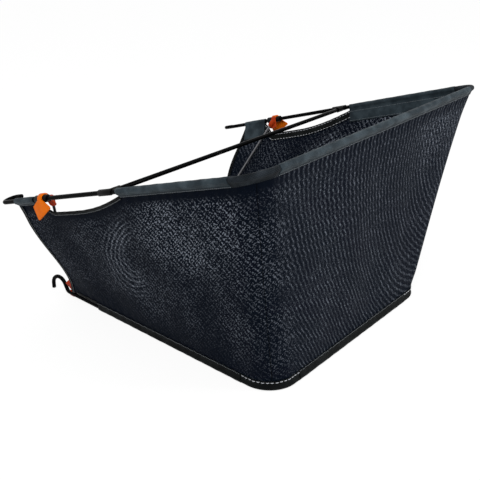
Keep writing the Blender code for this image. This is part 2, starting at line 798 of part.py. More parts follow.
def cross_bar_saddle(side_name, finish):
    """Black snap saddle: a ring on the rod and a socket for the bar."""
    side = SIDES[side_name]
    spot = Spot(TOP, BAR_STATION, side)
    radius = bar_saddle_radius()
    across = Vector((-side, 0.0, 0.0))
    made = ring(f"cross_bar_saddle_{side_name}", spot, BAR_SADDLE_FORE, BAR_SADDLE_REAR, radius, finish)
    socket_radius = BAR_DIAMETER / 2 + GAP + BAR_SADDLE_WALL * BAR_SOCKET_SHARE
    socket_end = spot.origin + across * (radius + BAR_SOCKET_LENGTH)
    combine(made, cylinder("socket", spot.origin, socket_end, socket_radius, finish), "UNION")
    open_ring(made, spot, BAR_SADDLE_FORE + radius, mouth_below(radius), finish)
    bore_start = spot.origin + across * radius
    bore = cylinder("bore", bore_start, socket_end + across * radius, BAR_DIAMETER / 2 + GAP, finish)
    combine(made, bore, "DIFFERENCE")
    return made


def cross_bar(finish):
    """Straight rod between the two saddles."""
    left = Spot(TOP, BAR_STATION, 1).origin
    end = left - Vector((bar_saddle_radius() + GAP, 0.0, 0.0))
    return rod("cross_bar", [end, Vector((0.0, end.y, end.z)), on_side(end, -1)], BAR_DIAMETER, finish)


def collar_radius():
    """Outer radius of the collar under an upper clip."""
    return ROD_DIAMETER / 2 + GAP + COLLAR_WALL


def strut_ends(side):
    """Upper and lower end of a strut, inside the sockets of its clips."""
    upper = Spot(TOP, CLIP_STATION, side)
    lower = Spot(BOTTOM, LOW_CLIP_START, side)
    bore = STRUT_DIAMETER / 2 + GAP
    stand = collar_radius() + GAP + CLIP_THICKNESS + bore
    top = upper.in_wall(STRUT_TOP_AHEAD, -stand, STRUT_TOP_DEPTH)
    bottom = lower.in_wall(STRUT_FOOT_AHEAD, -LOW_CLIP_INSET, STRUT_FOOT_HEIGHT)
    return top, bottom


def strut(side_name, finish):
    """Thin wire from the upper clip to the lower one."""
    top, bottom = strut_ends(SIDES[side_name])
    return rod(f"strut_{side_name}", [top, (top + bottom) / 2, bottom], STRUT_DIAMETER, finish)


def clip_saddle(side_name, finish):
    """Black collar on the top rod, under the orange clip."""
    spot = Spot(TOP, CLIP_STATION, SIDES[side_name])
    made = ring(f"clip_saddle_{side_name}", spot, COLLAR_FORE, COLLAR_REAR, collar_radius(), finish)
    open_ring(made, spot, COLLAR_FORE + COLLAR_REAR, mouth_below(collar_radius()), finish)
    return made


def clip(side_name, finish):
    """Orange clip: kite plate outside, narrow strap over the collar, tongue and strut socket inside."""
    spot = Spot(TOP, CLIP_STATION, SIDES[side_name])
    inner_radius = collar_radius() + GAP
    outer_radius = inner_radius + CLIP_THICKNESS
    lean = math.atan2(-spot.into.dot(spot.level), -spot.into.dot(spot.above))
    neck_bottom = min(PLATE_FORE_CORNER[1], PLATE_REAR_CORNER[1])
    half_width = CLIP_STRAP_WIDTH / 2

    def edge(radius):
        line = [(radius, neck_bottom)]
        for angle in spread(0.0, math.pi - lean, STRAP_STEPS):
            line.append((radius * math.cos(angle), radius * math.sin(angle)))
        level, above = line[-1]
        line.append((level + TONGUE_DEPTH / 2 * spot.into.dot(spot.level),
                     above + TONGUE_DEPTH / 2 * spot.into.dot(spot.above)))
        return line

    section = edge(outer_radius) + edge(inner_radius)[::-1]
    made = prism(f"clip_{side_name}", [spot.at(-half_width, level, above) for level, above in section],
                 spot.along * CLIP_STRAP_WIDTH, finish)
    corners = [(-half_width, 0.0), PLATE_FORE_CORNER, PLATE_BOTTOM_CORNER, PLATE_REAR_CORNER,
               (half_width, 0.0)]
    outline = rounded(corners, PLATE_CORNER_RADIUS)
    plate = prism("plate", [spot.at(along, inner_radius, above) for along, above in outline],
                  spot.level * CLIP_THICKNESS, finish)
    combine(made, plate, "UNION")
    corners = [(-half_width, 0.0), (-TONGUE_FORE, TONGUE_DEPTH), (TONGUE_REAR, TONGUE_DEPTH),
               (half_width, 0.0)]
    outline = rounded(corners, TONGUE_CORNER_RADIUS)
    tongue = prism("tongue", [spot.in_wall(along, -outer_radius, into) for along, into in outline],
                   spot.outward * CLIP_THICKNESS, finish)
    combine(made, tongue, "UNION")
    top, bottom = strut_ends(spot.side)
    along_strut = (bottom - top).normalized()
    bore = STRUT_DIAMETER / 2 + GAP
    socket = cylinder("socket", top - along_strut * CLIP_SOCKET_WALL, top + along_strut * CLIP_SOCKET_DEPTH,
                      bore + CLIP_SOCKET_WALL, finish)
    combine(made, socket, "UNION")
    hole = cylinder("hole", top - along_strut * GAP, top + along_strut * 2 * TONGUE_DEPTH, bore, finish)
    combine(made, hole, "DIFFERENCE")
    return made


def low_collar_radius():
    """Outer radius of the lower clip's ring."""
    return ROD_DIAMETER / 2 + GAP + LOW_CLIP_COLLAR_WALL


def lower_clip(side_name, finish):
    """Orange clip at the bottom front corner: a half ring on the rod and a cheek that holds the strut."""
    side = SIDES[side_name]
    start = Spot(BOTTOM, LOW_CLIP_START, side)
    radius = low_collar_radius()
    made = ring(f"lower_clip_{side_name}", start, 0.0, LOW_CLIP_COLLAR_LENGTH, radius, finish)
    foot = -ROD_DIAMETER / 2
    corners = [(0.0, foot), (LOW_CLIP_COLLAR_LENGTH, foot), (LOW_CLIP_LENGTH, LOW_CLIP_HEIGHT / 2),
               (LOW_CLIP_LENGTH, LOW_CLIP_HEIGHT), (-LOW_CLIP_NOSE, LOW_CLIP_HEIGHT),
               (-LOW_CLIP_NOSE / 2, LOW_CLIP_HEIGHT / 2)]
    far_side = -LOW_CLIP_INSET - LOW_CLIP_THICKNESS / 2
    outline = [start.in_wall(along, far_side, into) for along, into in rounded(corners, PLATE_CORNER_RADIUS)]
    cheek = prism("cheek", outline, start.outward * LOW_CLIP_THICKNESS, finish)
    combine(made, cheek, "UNION")
    mouth_outside = (LOW_CLIP_LAP, radius), (2 * radius, -radius)
    open_ring(made, start, 2 * LOW_CLIP_COLLAR_LENGTH, mouth_outside, finish)
    top, bottom = strut_ends(side)
    along_strut = (top - bottom).normalized()
    hole = cylinder("hole", bottom - along_strut * GAP, bottom + along_strut * 2 * LOW_CLIP_HEIGHT,
                    STRUT_DIAMETER / 2 + GAP, finish)
    combine(made, hole, "DIFFERENCE")
    rivet_foot, rivet_head = rivet_ends(side, RIVET_HEAD_HEIGHT)
    hole = cylinder("hole", rivet_foot, rivet_head, RIVET_DIAMETER / 2 + GAP, finish, 16)
    combine(made, hole, "DIFFERENCE")
    return made


def rivet_ends(side, beyond):
    """Points on the rivet's axis at a distance beyond the two faces of the lower clip's cheek."""
    spot = Spot(BOTTOM, LOW_CLIP_START, side)
    reach = LOW_CLIP_THICKNESS / 2 + beyond
    return (spot.in_wall(RIVET_STATION, -LOW_CLIP_INSET - reach, RIVET_HEIGHT),
            spot.in_wall(RIVET_STATION, -LOW_CLIP_INSET + reach, RIVET_HEIGHT))


def lower_rivet(side_name, finish):
    """Rivet through the lower clip's cheek, with a head on both sides."""
    side = SIDES[side_name]
    foot, head = rivet_ends(side, GAP + RIVET_HEAD_HEIGHT / 2)
    made = cylinder(f"lower_rivet_{side_name}", foot, head, RIVET_DIAMETER / 2, finish, 16)
    ends = zip(rivet_ends(side, GAP), rivet_ends(side, GAP + RIVET_HEAD_HEIGHT))
    for near, far in ends:
        combine(made, cylinder("head", near, far, RIVET_HEAD_DIAMETER / 2, finish, 16), "UNION")
    return made


def main():
    """Build the grass box."""
    for old in list(bpy.data.objects):
        bpy.data.objects.remove(old)
    finishes = make_materials()
    top_frame(finishes["rod"])
    bottom_frame(finishes["rod"])
    cross_bar(finishes["rod"])
    for side_name in SIDES:
        cross_bar_saddle(side_name, finishes["collar"])
        clip_saddle(side_name, finishes["collar"])
        clip(side_name, finishes["clip"])
        lower_clip(side_name, finishes["clip"])
        lower_rivet(side_name, finishes["rivet"])
        strut(side_name, finishes["rod"])
        side_panel(side_name, finishes["mesh"])
        corner_tape(side_name, finishes["tape"])
    rear_panel(finishes["mesh"])
    top_sleeves(finishes["nylon"])
    tabs(finishes["nylon"])
    bottom_sleeves(finishes["tape"])
    hems(finishes["tape"])
    edge_bindings(finishes["tape"])
    front_bindings(finishes["tape"])
    floor_panel(finishes["tape"])
    floor_hem(finishes["tape"])


main()
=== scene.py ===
# %% [markdown]
# # Grass box of a hand reel mower
# A bag of see-through mesh hangs between two bent steel rods. The upper rod is wide and climbs
# to the rear, the lower one is narrower and level, and both end in hooks at the mower's side.
# The solids of every piece are loaded first, and this script dresses them: cloth with drape,
# weave and stitching, coated steel, and moulded clips.

# %% Load the frame
import math

import bpy
import numpy as np
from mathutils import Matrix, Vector


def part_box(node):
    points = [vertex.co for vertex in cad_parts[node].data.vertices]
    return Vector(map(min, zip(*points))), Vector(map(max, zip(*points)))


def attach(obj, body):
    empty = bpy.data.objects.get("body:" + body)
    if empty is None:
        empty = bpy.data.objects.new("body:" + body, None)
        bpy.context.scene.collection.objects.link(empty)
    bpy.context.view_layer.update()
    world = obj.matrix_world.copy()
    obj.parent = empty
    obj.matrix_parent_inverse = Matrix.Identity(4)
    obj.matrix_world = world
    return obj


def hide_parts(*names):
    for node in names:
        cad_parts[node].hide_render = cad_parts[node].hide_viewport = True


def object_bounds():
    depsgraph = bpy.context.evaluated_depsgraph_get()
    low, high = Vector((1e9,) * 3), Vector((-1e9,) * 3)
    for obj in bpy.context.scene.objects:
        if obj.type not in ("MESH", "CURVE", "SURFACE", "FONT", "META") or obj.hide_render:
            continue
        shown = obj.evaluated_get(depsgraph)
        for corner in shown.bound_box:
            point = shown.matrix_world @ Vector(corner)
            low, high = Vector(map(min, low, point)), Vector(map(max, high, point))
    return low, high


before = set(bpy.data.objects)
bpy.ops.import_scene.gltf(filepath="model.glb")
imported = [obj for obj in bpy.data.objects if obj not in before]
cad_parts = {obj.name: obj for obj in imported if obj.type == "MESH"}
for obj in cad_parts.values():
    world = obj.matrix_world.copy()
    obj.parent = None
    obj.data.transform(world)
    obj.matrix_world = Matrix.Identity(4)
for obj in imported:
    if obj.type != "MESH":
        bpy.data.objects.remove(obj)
cad_low, cad_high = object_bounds()
size = cad_high - cad_low
print(f"{len(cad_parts)} pieces, {size.x:.3f} x {size.y:.3f} x {size.z:.3f} m")

# %% [markdown]
# ## The eye
# The camera looks from behind the bag's left rear corner, a little from above. It is placed by
# two angles and a distance round one point in the bag, because those are easy to reason about.

# %% Camera
AZIMUTH = 128.558
ELEVATION = 23.180
DISTANCE = 1.5431
LENS = 61.65
SENSOR = 36.0
AIM = Vector((0.0, 0.2621, 0.1126))

turn, rise = math.radians(AZIMUTH), math.radians(ELEVATION)
back = Vector((math.sin(turn) * math.cos(rise), -math.cos(turn) * math.cos(rise), math.sin(rise)))
camera_data = bpy.data.cameras.new("camera")
camera_data.sensor_width = SENSOR
camera_data.lens = LENS
camera = bpy.data.objects.new("camera", camera_data)
camera.location = AIM + back * DISTANCE
camera.rotation_mode = "QUATERNION"
camera.rotation_quaternion = (-back).to_track_quat("-Z", "Y")
bpy.context.scene.collection.objects.link(camera)
bpy.context.scene.camera = camera
print("camera at", [round(value, 3) for value in camera.location])

# %% [markdown]
# ## Shader arithmetic
# A pattern such as a weave is a formula of two lengths. Written with nodes it is a long chain,
# so a small class wraps a socket and lets ordinary operators add the Math nodes.

# %% Sockets that can be added and multiplied
class Wire:
    """A socket of one node tree. An operator on it adds a Math node and gives its output."""

    def __init__(self, finish, socket):
        self.finish = finish
        self.socket = socket

    def math(self, operation, *others):
        return self.finish.node("ShaderNodeMath", {"operation": operation}, [self, *others])

    def __add__(self, other):
        return self.math("ADD", other)

    def __sub__(self, other):
        return self.math("SUBTRACT", other)

    def __mul__(self, other):
        return self.math("MULTIPLY", other)

    def __rsub__(self, other):
        return self.finish.node("ShaderNodeMath", {"operation": "SUBTRACT"}, [other, self])

    def __pow__(self, other):
        return self.math("POWER", other)

    __radd__ = __add__
    __rmul__ = __mul__

    def sine(self):
        return self.math("SINE")

    def between(self, low, high):
        """0 below low, 1 above high, and a smooth rise between them."""
        settings = {"interpolation_type": "SMOOTHSTEP"}
        values = {"Value": self, "From Min": low, "From Max": high}
        return self.finish.node("ShaderNodeMapRange", settings, values)


# Places of the Mix node's sockets for colours, which follow those for numbers and vectors.
MIX_COLOURS = (6, 7)
MIX_RESULT = 2


class Finish:
    """A material that ends in one Principled shader, and a method that adds any node to it."""

    def __init__(self, name, colour, roughness, **rest):
        self.material = bpy.data.materials.new(name)
        self.material.use_nodes = True
        self.tree = self.material.node_tree
        self.shader = self.tree.nodes["Principled BSDF"]
        self.set("Base Color", (*colour, 1.0))
        self.set("Roughness", roughness)
        for socket, value in rest.items():
            self.set(socket.replace("_", " "), value)
        self.material.diffuse_color = (*colour, 1.0)

    def put(self, socket, value):
        """A link if the value is a wire, and otherwise the socket's own value."""
        if isinstance(value, Wire):
            self.tree.links.new(value.socket, socket)
        else:
            socket.default_value = value

    def set(self, socket, value):
        self.put(self.shader.inputs[socket], value)

    def node(self, kind, settings=None, values=(), output=0):
        """Adds a node: its settings first, then its sockets by place or by name."""
        made = self.tree.nodes.new(kind)
        for name, value in (settings or {}).items():
            setattr(made, name, value)
        pairs = values.items() if isinstance(values, dict) else enumerate(values)
        for socket, value in pairs:
            self.put(made.inputs[socket], value)
        return Wire(self, made.outputs[output])

    def place(self):
        """The point on the piece, in metres."""
        return self.node("ShaderNodeTexCoord", output="Object")

    def lengths(self):
        """The cloth's own two lengths, in metres: along it and across it."""
        laid_flat = self.node("ShaderNodeUVMap", {"uv_map": "cloth"})
        return [self.part(laid_flat, axis) for axis in ("X", "Y")]

    def part(self, vector, axis):
        """One of a vector's three numbers."""
        return self.node("ShaderNodeSeparateXYZ", None, [vector], axis)

    def noise(self, where, scale, detail=2.0):
        """Soft noise from 0 to 1."""
        values = {"Vector": where, "Scale": scale, "Detail": detail}
        return self.node("ShaderNodeTexNoise", None, values, "Fac")

    def blend(self, factor, first, second):
        """A colour between two colours, on the Mix node's own sockets for colours."""
        made = self.node("ShaderNodeMix", {"data_type": "RGBA"}, {"Factor": factor}, MIX_RESULT)
        for place, colour in zip(MIX_COLOURS, (first, second)):
            self.put(made.socket.node.inputs[place], (*colour, 1.0))
        return made

    def bump(self, height, strength, distance):
        """Relief from a height."""
        values = {"Height": height, "Strength": strength, "Distance": distance}
        self.set("Normal", self.node("ShaderNodeBump", None, values))


print("sockets wrapped")

# %% [markdown]
# ## Hard finishes
# The rods are steel with a black powder coat, which is satin and very slightly pebbled, and the
# struts are bare drawn wire. The clips are moulded in orange with a fine grain, and their collars
# are black. On the clips' side that faces into the bag, a deeper, redder orange is painted shade.
# Noise in the roughness and in the relief keeps an even colour from looking like paint on a screen.

# %% Coated steel, plastics, wire and the rivet's steel
BLOTCH_SHARE = 0.15
COLOUR_STEP = 0.003
# Nearer than this to the middle plane, the clips get a darker, redder colour as painted shade.
CLIP_TONGUE = 0.317


def coated_steel():
    """Black powder coat: a satin skin with fine pebbling and faint uneven gloss."""
    finish = Finish("coated_steel", (0.0012, 0.0013, 0.0016), 0.30, Specular_IOR_Level=0.02)
    where = finish.place()
    finish.set("Roughness", 0.20 + finish.noise(where, 60.0) * 0.14)
    finish.bump(finish.noise(where, 1400.0), strength=0.25, distance=0.0002)
    return finish.material


def moulded(name, colour, dark, roughness, shaded_within=None):
    """Injection moulded plastic: even colour, slightly deeper in blotches, with a fine grain.

    Where a distance is given, the colour turns to the dark one nearer than that to the middle plane.
    This is painted shade on the side that faces into the bag.
    """
    finish = Finish(name, colour, roughness, Specular_IOR_Level=0.06)
    where = finish.place()
    blotches = BLOTCH_SHARE if shaded_within else 1.0
    deep = finish.noise(where, 90.0).between(0.35, 0.75) * blotches
    # Painted shade: the side that faces into the bag turns to the dark colour.
    if shaded_within:
        sideways = finish.part(where, "X").math("ABSOLUTE")
        deep = deep + (1.0 - sideways.between(shaded_within - COLOUR_STEP, shaded_within)) * (1.0 - blotches)
    finish.set("Base Color", finish.blend(deep, colour, dark))
    finish.set("Roughness", roughness - 0.08 + finish.noise(where, 240.0) * 0.16)
    finish.bump(finish.noise(where, 2600.0), strength=0.35, distance=0.00015)
    return finish.material


def rivet_steel():
    """Turned steel: bright, with a gloss that varies a little."""
    finish = Finish("rivet_steel", (0.62, 0.62, 0.64), 0.28, Metallic=1.0)
    where = finish.place()
    finish.set("Roughness", 0.2 + finish.noise(where, 700.0) * 0.25)
    return finish.material


hard = {
    "rod": coated_steel(),
    "wire": Finish("drawn_wire", (0.15, 0.15, 0.16), roughness=0.30, Metallic=0.7).material,
    "collar": moulded("moulded_black", (0.0035, 0.0032, 0.0034), (0.0022, 0.0022, 0.0024), roughness=0.38),
    # The clip's dark colour serves both its blotches and its painted shade.
    "clip": moulded("moulded_orange", (0.77, 0.152, 0.0), (0.34, 0.024, 0.008), roughness=0.46,
                    shaded_within=CLIP_TONGUE),
    "rivet": rivet_steel(),
}
print("hard finishes:", ", ".join(hard))

# %% [markdown]
# ## Cloth finishes
# The walls are a coated knitted mesh. Up close it is a net of threads with small holes, and from
# a step away the holes and threads beat into fine ripples, with glints where the threads shine.
# The net is a product of two sines of the cloth's own lengths: where it is high there is a hole.
# The ripples are rings round a point where the cloth is pulled: a sine of the distance to it.
# The glints are painted highlights: fine noise cut off high, which lifts the colour with the rings.
# Sleeves, tapes and hems are plain weaves: the same product of two sines is their relief, as their
# threads go over and under each other. The nylon is darker towards its first edge, as painted shade.

# %% Mesh, nylon, tape and thread
TURN = 2 * math.pi
MESH_PITCH = 0.0028
# The mesh's own dark colour, and the colour of its painted highlights.
MESH_DEEP = (0.0011, 0.0030, 0.0076)
MESH_LIT = (0.205, 0.230, 0.275)
# Each pair says where a mask starts and where it is full.
HOLE_EDGE = (0.80, 0.97)
GLINT_EDGE = (0.55, 0.66)
FIRST_EDGE = (0.02, 0.07)
SEAM_SHADE = (0.010, 0.030)
FOOT_SHADE = (0.014, 0.075)
GLINT_SCALE = 430.0
SLANT_PITCH = 0.0095
TWILL_PITCH = 0.0064


def wave(length, pitch):
    """A sine over a length, which repeats at the pitch."""
    return (length * (TURN / pitch)).sine()


def distance_to(along, across, spot):
    """Distance over the cloth to a spot, which is given in the cloth's own lengths."""
    aside, below_it = along - spot[0], across - spot[1]
    return (aside * aside + below_it * below_it) ** 0.5


def pull_rings(finish, pull, pitch, fade):
    """Rings round a point of pull: a sine of the distance to it, with a slow wobble.

    They lie only on the pull's fore side, from a little way off to the distance fade.
    """
    along, across = finish.lengths()
    away = distance_to(along, across, pull)
    wobble = finish.noise(finish.place(), 9.0, 1.0) * 9.0 + wave(across, 0.017) * 0.5
    rings = (away * (TURN / pitch) + wobble).sine().between(-0.1, 1.0)
    rings = rings * away.between(0.02, 0.05) * (1.0 - away.between(fade * 0.5, fade))
    return rings * (1.0 - along.between(pull[0] - 0.02, pull[0] + 0.02))


def mesh_cloth(name, pull, pitch, fade, ring_share, gleam, sparkle):
    """Coated knit: holes on a net, rings round the point pull, and glints where its threads shine.

    pitch is the distance from ring to ring, and ring_share is how bright they are. The glints are
    painted highlights in slanted rows. They are strongest round the spot gleam, a painted pool of
    light, and few beside the upper seam and near the floor, where painted shade holds them down.
    sparkle is their strength at the cloth's first edge and further on.
    """
    finish = Finish(name, (0.012, 0.017, 0.026), 0.7, Specular_IOR_Level=0.03)
    along, across = finish.lengths()
    where = finish.place()
    net = wave(along, MESH_PITCH) * wave(across, MESH_PITCH)
    slant = wave(along - across * 0.8, SLANT_PITCH)
    twill = wave(along + across, TWILL_PITCH)
    glint = (finish.noise(where, GLINT_SCALE, 1.0) + slant * 0.06 + twill * 0.04).between(*GLINT_EDGE)
    further_on = along.between(*FIRST_EDGE)
    rings = pull_rings(finish, pull, pitch, fade) * further_on
    patch = finish.noise(where, 13.0, 2.0).between(0.36, 0.66)
    # A painted pool of light round the spot gleam.
    near_gleam = 1.0 - distance_to(along, across, gleam).between(0.03, 0.15)
    strength = 0.12 + patch * 0.24 + near_gleam * (0.42 + patch * 0.45)
    strength = strength * (sparkle[0] + further_on * (sparkle[1] - sparkle[0]))
    # Painted shade: fewer glints beside the upper seam and near the floor.
    above_foot = finish.part(where, "Z").between(*FOOT_SHADE)
    clear = across.between(*SEAM_SHADE) * (above_foot * 0.75 + 0.25)
    # Painted highlights: glints and rings lift the colour from MESH_DEEP to MESH_LIT.
    shine = rings * ring_share * (0.4 + glint * 1.5) + glint * clear * strength
    finish.set("Base Color", finish.blend(shine, MESH_DEEP, MESH_LIT))
    finish.set("Alpha", 1.0 - net.between(*HOLE_EDGE) * (0.15 + glint * 0.5))
    finish.bump(net * -1.0, strength=0.4, distance=0.0004)
    return finish.material


def woven(name, colour, light, pitch, roughness, sheen, crease=None):
    """Plain weave: threads over and under each other, and a soft uneven tone.

    Nearer than crease to the cloth's first edge it turns to its first, darker colour: painted shade
    of the fold under the rod.
    """
    finish = Finish(name, colour, roughness, Specular_IOR_Level=0.06, Sheen_Weight=sheen,
                    Sheen_Roughness=0.4)
    along, across = finish.lengths()
    weave = wave(along, pitch) * wave(across, pitch)
    tone = finish.noise(finish.place(), 45.0, 3.0).between(0.3, 0.8)
    lit = tone * 0.6 + weave.between(-0.6, 1.0) * 0.3
    # Painted shade of the fold: darker nearer than crease to the first edge.
    if crease:
        lit = lit * across.between(crease * 0.4, crease)
    finish.set("Base Color", finish.blend(lit, colour, light))
    finish.set("Roughness", roughness + 0.08 - tone * 0.14)
    finish.bump(weave, strength=0.35, distance=pitch * 0.3)
    return finish.material


def thread(name, dark, light):
    """Polyester sewing thread, with the twist of its strands."""
    finish = Finish(name, light, 0.6)
    finish.set("Base Color", finish.blend(finish.noise(finish.place(), 900.0), dark, light))
    return finish.material


soft = {
    # The side and rear mesh differ in their rings and in the strength of their painted glints.
    "side_mesh": mesh_cloth("side_mesh_cloth", pull=(0.25, 0.125), pitch=0.0105, fade=0.11,
                            ring_share=0.58, gleam=(0.37, 0.05), sparkle=(1.2, 1.3)),
    "rear_mesh": mesh_cloth("rear_mesh_cloth", pull=(0.66, 0.0), pitch=0.0092, fade=2.5,
                            ring_share=0.22, gleam=(0.48, 0.03), sparkle=(1.3, 0.45)),
    # The nylon's sleeves and tabs get painted shade along their outer leg and the ring's lower outer side.
    "nylon": woven("nylon_cloth", (0.010, 0.016, 0.021), (0.062, 0.086, 0.102), pitch=0.0009,
                   roughness=0.50, sheen=0.04, crease=0.0065),
    "tape": woven("tape_cloth", (0.0009, 0.0013, 0.0015), (0.0056, 0.0074, 0.0080), pitch=0.0013,
                  roughness=0.60, sheen=0.02),
    "hem": woven("hem_cloth", (0.0012, 0.0022, 0.0032), (0.036, 0.045, 0.056), pitch=0.0033,
                 roughness=0.62, sheen=0.02),
    "thread": thread("thread", (0.10, 0.115, 0.13), (0.30, 0.33, 0.36)),
    "pale_thread": thread("pale_thread", (0.30, 0.31, 0.33), (0.62, 0.64, 0.68)),
}
print("cloth finishes:", ", ".join(soft))

# %% [markdown]
# ## The two bent rods as formulas
# Everything hangs on two rods, so their centre lines come first. A single number q says where on
# a rod a point is: 0 to 1 along the left leg, 1 to 2 round the left corner, 2 to 3 to the middle
# of the rear bar, and 3 to 6 the same mirrored. The wall between equal q of both rods is a ruled
# surface, the simplest one that two curves can carry.

# %% Centre lines
ROD = 0.0075


def unit(vectors):
    """Vectors divided by their own length."""
    return vectors / np.linalg.norm(vectors, axis=-1, keepdims=True)


def dot(first, second):
    """Scalar product over the last axis, kept as a column."""
    return np.sum(first * second, axis=-1, keepdims=True)


class BentRod:
    """Centre line of a U-shaped rod of two legs, two round corners and a rear bar."""

    def __init__(self, front, corner, radius):
        self.front, corner = np.array(front), np.array(corner)
        across = np.array((-1.0, 0.0, 0.0))
        self.leg = unit(corner - self.front)
        self.turn = math.acos(self.leg @ across)
        self.radius = radius
        cut = radius * math.tan(self.turn / 2)
        half = [np.linalg.norm(corner - self.front) - cut, self.turn * radius, corner[0] - cut]
        self.marks = np.cumsum([0.0, *half, *half[::-1]])
        self.leg_length, self.bar_half = half[0], half[2]
        self.inward = unit(across - self.leg * (self.leg @ across))
        self.bar_start = corner + across * cut

    def place(self, q):
        """Points and directions at q: a line, then an arc, then a level line, mirrored past 3."""
        q = np.asarray(q, float)[..., None]
        half = np.minimum(q, 6 - q)
        angle = self.turn * (np.clip(half, 1, 2) - 1)
        arc = self.front + self.leg * self.leg_length
        arc = arc + (self.leg * np.sin(angle) + self.inward * (1 - np.cos(angle))) * self.radius
        bar = self.bar_start - np.array((1.0, 0.0, 0.0)) * self.bar_half * (half - 2)
        line = self.front + self.leg * self.leg_length * half
        point = np.where(half <= 1, line, np.where(half <= 2, arc, bar))
        way = self.leg * np.cos(angle) + self.inward * np.sin(angle)
        flip = np.where(q > 3, -1.0, 1.0)
        point = point * np.concatenate([flip, np.ones_like(flip), np.ones_like(flip)], axis=-1)
        way = way * np.concatenate([np.ones_like(flip), flip, flip], axis=-1)
        return point, unit(way)

    def run(self, q):
        """Length of rod from the left front end to q."""
        return np.interp(q, range(7), self.marks)

    def at(self, run):
        """The q at a length of rod from the left front end."""
        return np.interp(run, self.marks, range(7))


TOP = BentRod(front=(0.317, -0.010, 0.217), corner=(0.336, 0.556, 0.388), radius=0.042)
LOW = BentRod(front=(0.200, 0.0, 0.0), corner=(0.239, 0.519, 0.0), radius=0.048)
for name, line in (("top_frame", TOP), ("bottom_frame", LOW)):
    rear = line.place(3.0)[0]
    low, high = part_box(name)
    print(name, "is off its solid by", round(abs(float(rear[1]) + ROD / 2 - high.y) * 1000, 2), "mm")

# %% [markdown]
# ## Drape
# Real cloth between two rods is not a flat ruled sheet. It draws in at the waist, swells a
# little in broad slow waves, and puckers where it is gathered by a seam. All cloth takes its
# place from one function, so a hem or a sleeve's flap moves with the wall that it is sewn to.

# %% The wall's surface
SEAM = 0.009
WAIST = 0.006
BROAD = 0.0020
# Each broad wave: its length, its slant, its phase and its share of the height.
BROAD_WAVES = ((0.37, 0.45, 0.0, 1.0), (0.143, -0.7, 1.1, 0.6))
PUCKER = 0.00045
PUCKER_PITCH = 0.019
PUCKER_DRIFT = 0.13
# Depths from a seam between which the cloth comes free of it.
TOP_FREE = (0.008, 0.06)
LOW_FREE = (0.008, 0.05)
PUCKER_START = (0.002, 0.012)
# Beside the top and the low seam: the depth where puckers are highest, and how fast they die away.
TOP_PUCKERS = (0.018, 0.016)
LOW_PUCKERS = (0.016, 0.014)


def rise_between(value, low, high):
    """0 below low, 1 above high, and a smooth rise between them."""
    share = np.clip((value - low) / (high - low), 0, 1)
    return share * share * (3 - 2 * share)


def drape(run, share, height):
    """Distance of the cloth out of the ruled surface, drawn in at the waist by half a sine.

    Broad waves are sines of the length along the bag. Puckers are short waves that die away
    from each seam, exponentially with the distance to it.
    """
    from_top, from_low = share * height, (1 - share) * height
    free = rise_between(from_top, *TOP_FREE) * rise_between(from_low, *LOW_FREE)
    slow = sum(part * np.sin(TURN * (run / length + slant * share) + phase)
               for length, slant, phase, part in BROAD_WAVES)
    short = np.sin(TURN * run / PUCKER_PITCH + 1.7 * np.sin(TURN * run / PUCKER_DRIFT))
    near_seam = sum(np.exp(-np.abs(depth - peak) / reach)
                    for depth, (peak, reach) in ((from_top, TOP_PUCKERS), (from_low, LOW_PUCKERS)))
    start = rise_between(np.minimum(from_top, from_low), *PUCKER_START)
    return BROAD * slow * free + PUCKER * short * near_seam * start - WAIST * np.sin(math.pi * share)


def wall(q, share):
    """Points and outward directions of the wall, a share of the way from the top rod to the low one."""
    q, share = np.broadcast_arrays(np.asarray(q, float), np.asarray(share, float))
    top, top_way = TOP.place(q)
    low, low_way = LOW.place(q)
    down = low - top
    out = unit(np.cross(down, top_way + (low_way - top_way) * share[..., None]))
    height = np.linalg.norm(down, axis=-1)
    run = (TOP.run(q) + LOW.run(q)) / 2
    return top + down * share[..., None] + out * drape(run, share, height)[..., None], out


def square_place(rod, q, depth):
    """The wall's q and share at a depth from a rod, in the plane square to the rod at q."""
    q, depth = np.broadcast_arrays(np.asarray(q, float), np.asarray(depth, float))
    down = LOW.place(q)[0] - TOP.place(q)[0]
    way = rod.place(q)[1]
    slant = np.linalg.norm(np.cross(way, down), axis=-1)
    drift = depth * dot(way, down)[..., 0] / slant
    moved = rod.at(rod.run(q) + (-drift if rod is TOP else drift))
    down = LOW.place(moved)[0] - TOP.place(moved)[0]
    slant = np.linalg.norm(np.cross(rod.place(moved)[1], down), axis=-1)
    return moved, depth / slant if rod is TOP else 1 - depth / slant


def below(rod, q, depth):
    """Points and outward directions of the wall at a depth, in the plane square to the rod at q."""
    return wall(*square_place(rod, q, depth))


def across_rod(rod, q):
    """At q: the rod's point, and the directions into the wall and out of the bag, both square to it."""
    point, way = rod.place(q)
    down = unit(LOW.place(q)[0] - TOP.place(q)[0])
    into = down if rod is TOP else -down
    out = unit(np.cross(down, way))
    return point, unit(into - way * dot(into, way)), out


print("the wall's middle at the rear:", np.round(wall(3.0, 0.5)[0], 4))

# %% [markdown]
# ## From a grid to a piece
# Every cloth piece is a grid of points. The grid's two real lengths go into a UV map, because
# the weave follows the cloth and not the room, and Solidify gives the cloth its thickness. Most
# pieces come in pairs, so the left one is worked out and the right one is its mirror image.

# %% Grid to mesh
SIDES = {"left": 1.0, "right": -1.0}
sheets = {}


def piece(name, points, faces, finish, replaced=()):
    """An object from arrays, smooth, riding on the frame, and standing for the solids it replaces."""
    mesh = bpy.data.meshes.new(name)
    mesh.from_pydata(points.reshape(-1, 3).tolist(), [], faces)
    mesh.shade_smooth()
    mesh.materials.append(finish)
    made = bpy.data.objects.new(name, mesh)
    bpy.context.scene.collection.objects.link(made)
    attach(made, "root")
    if replaced:
        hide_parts(*replaced)
    return made


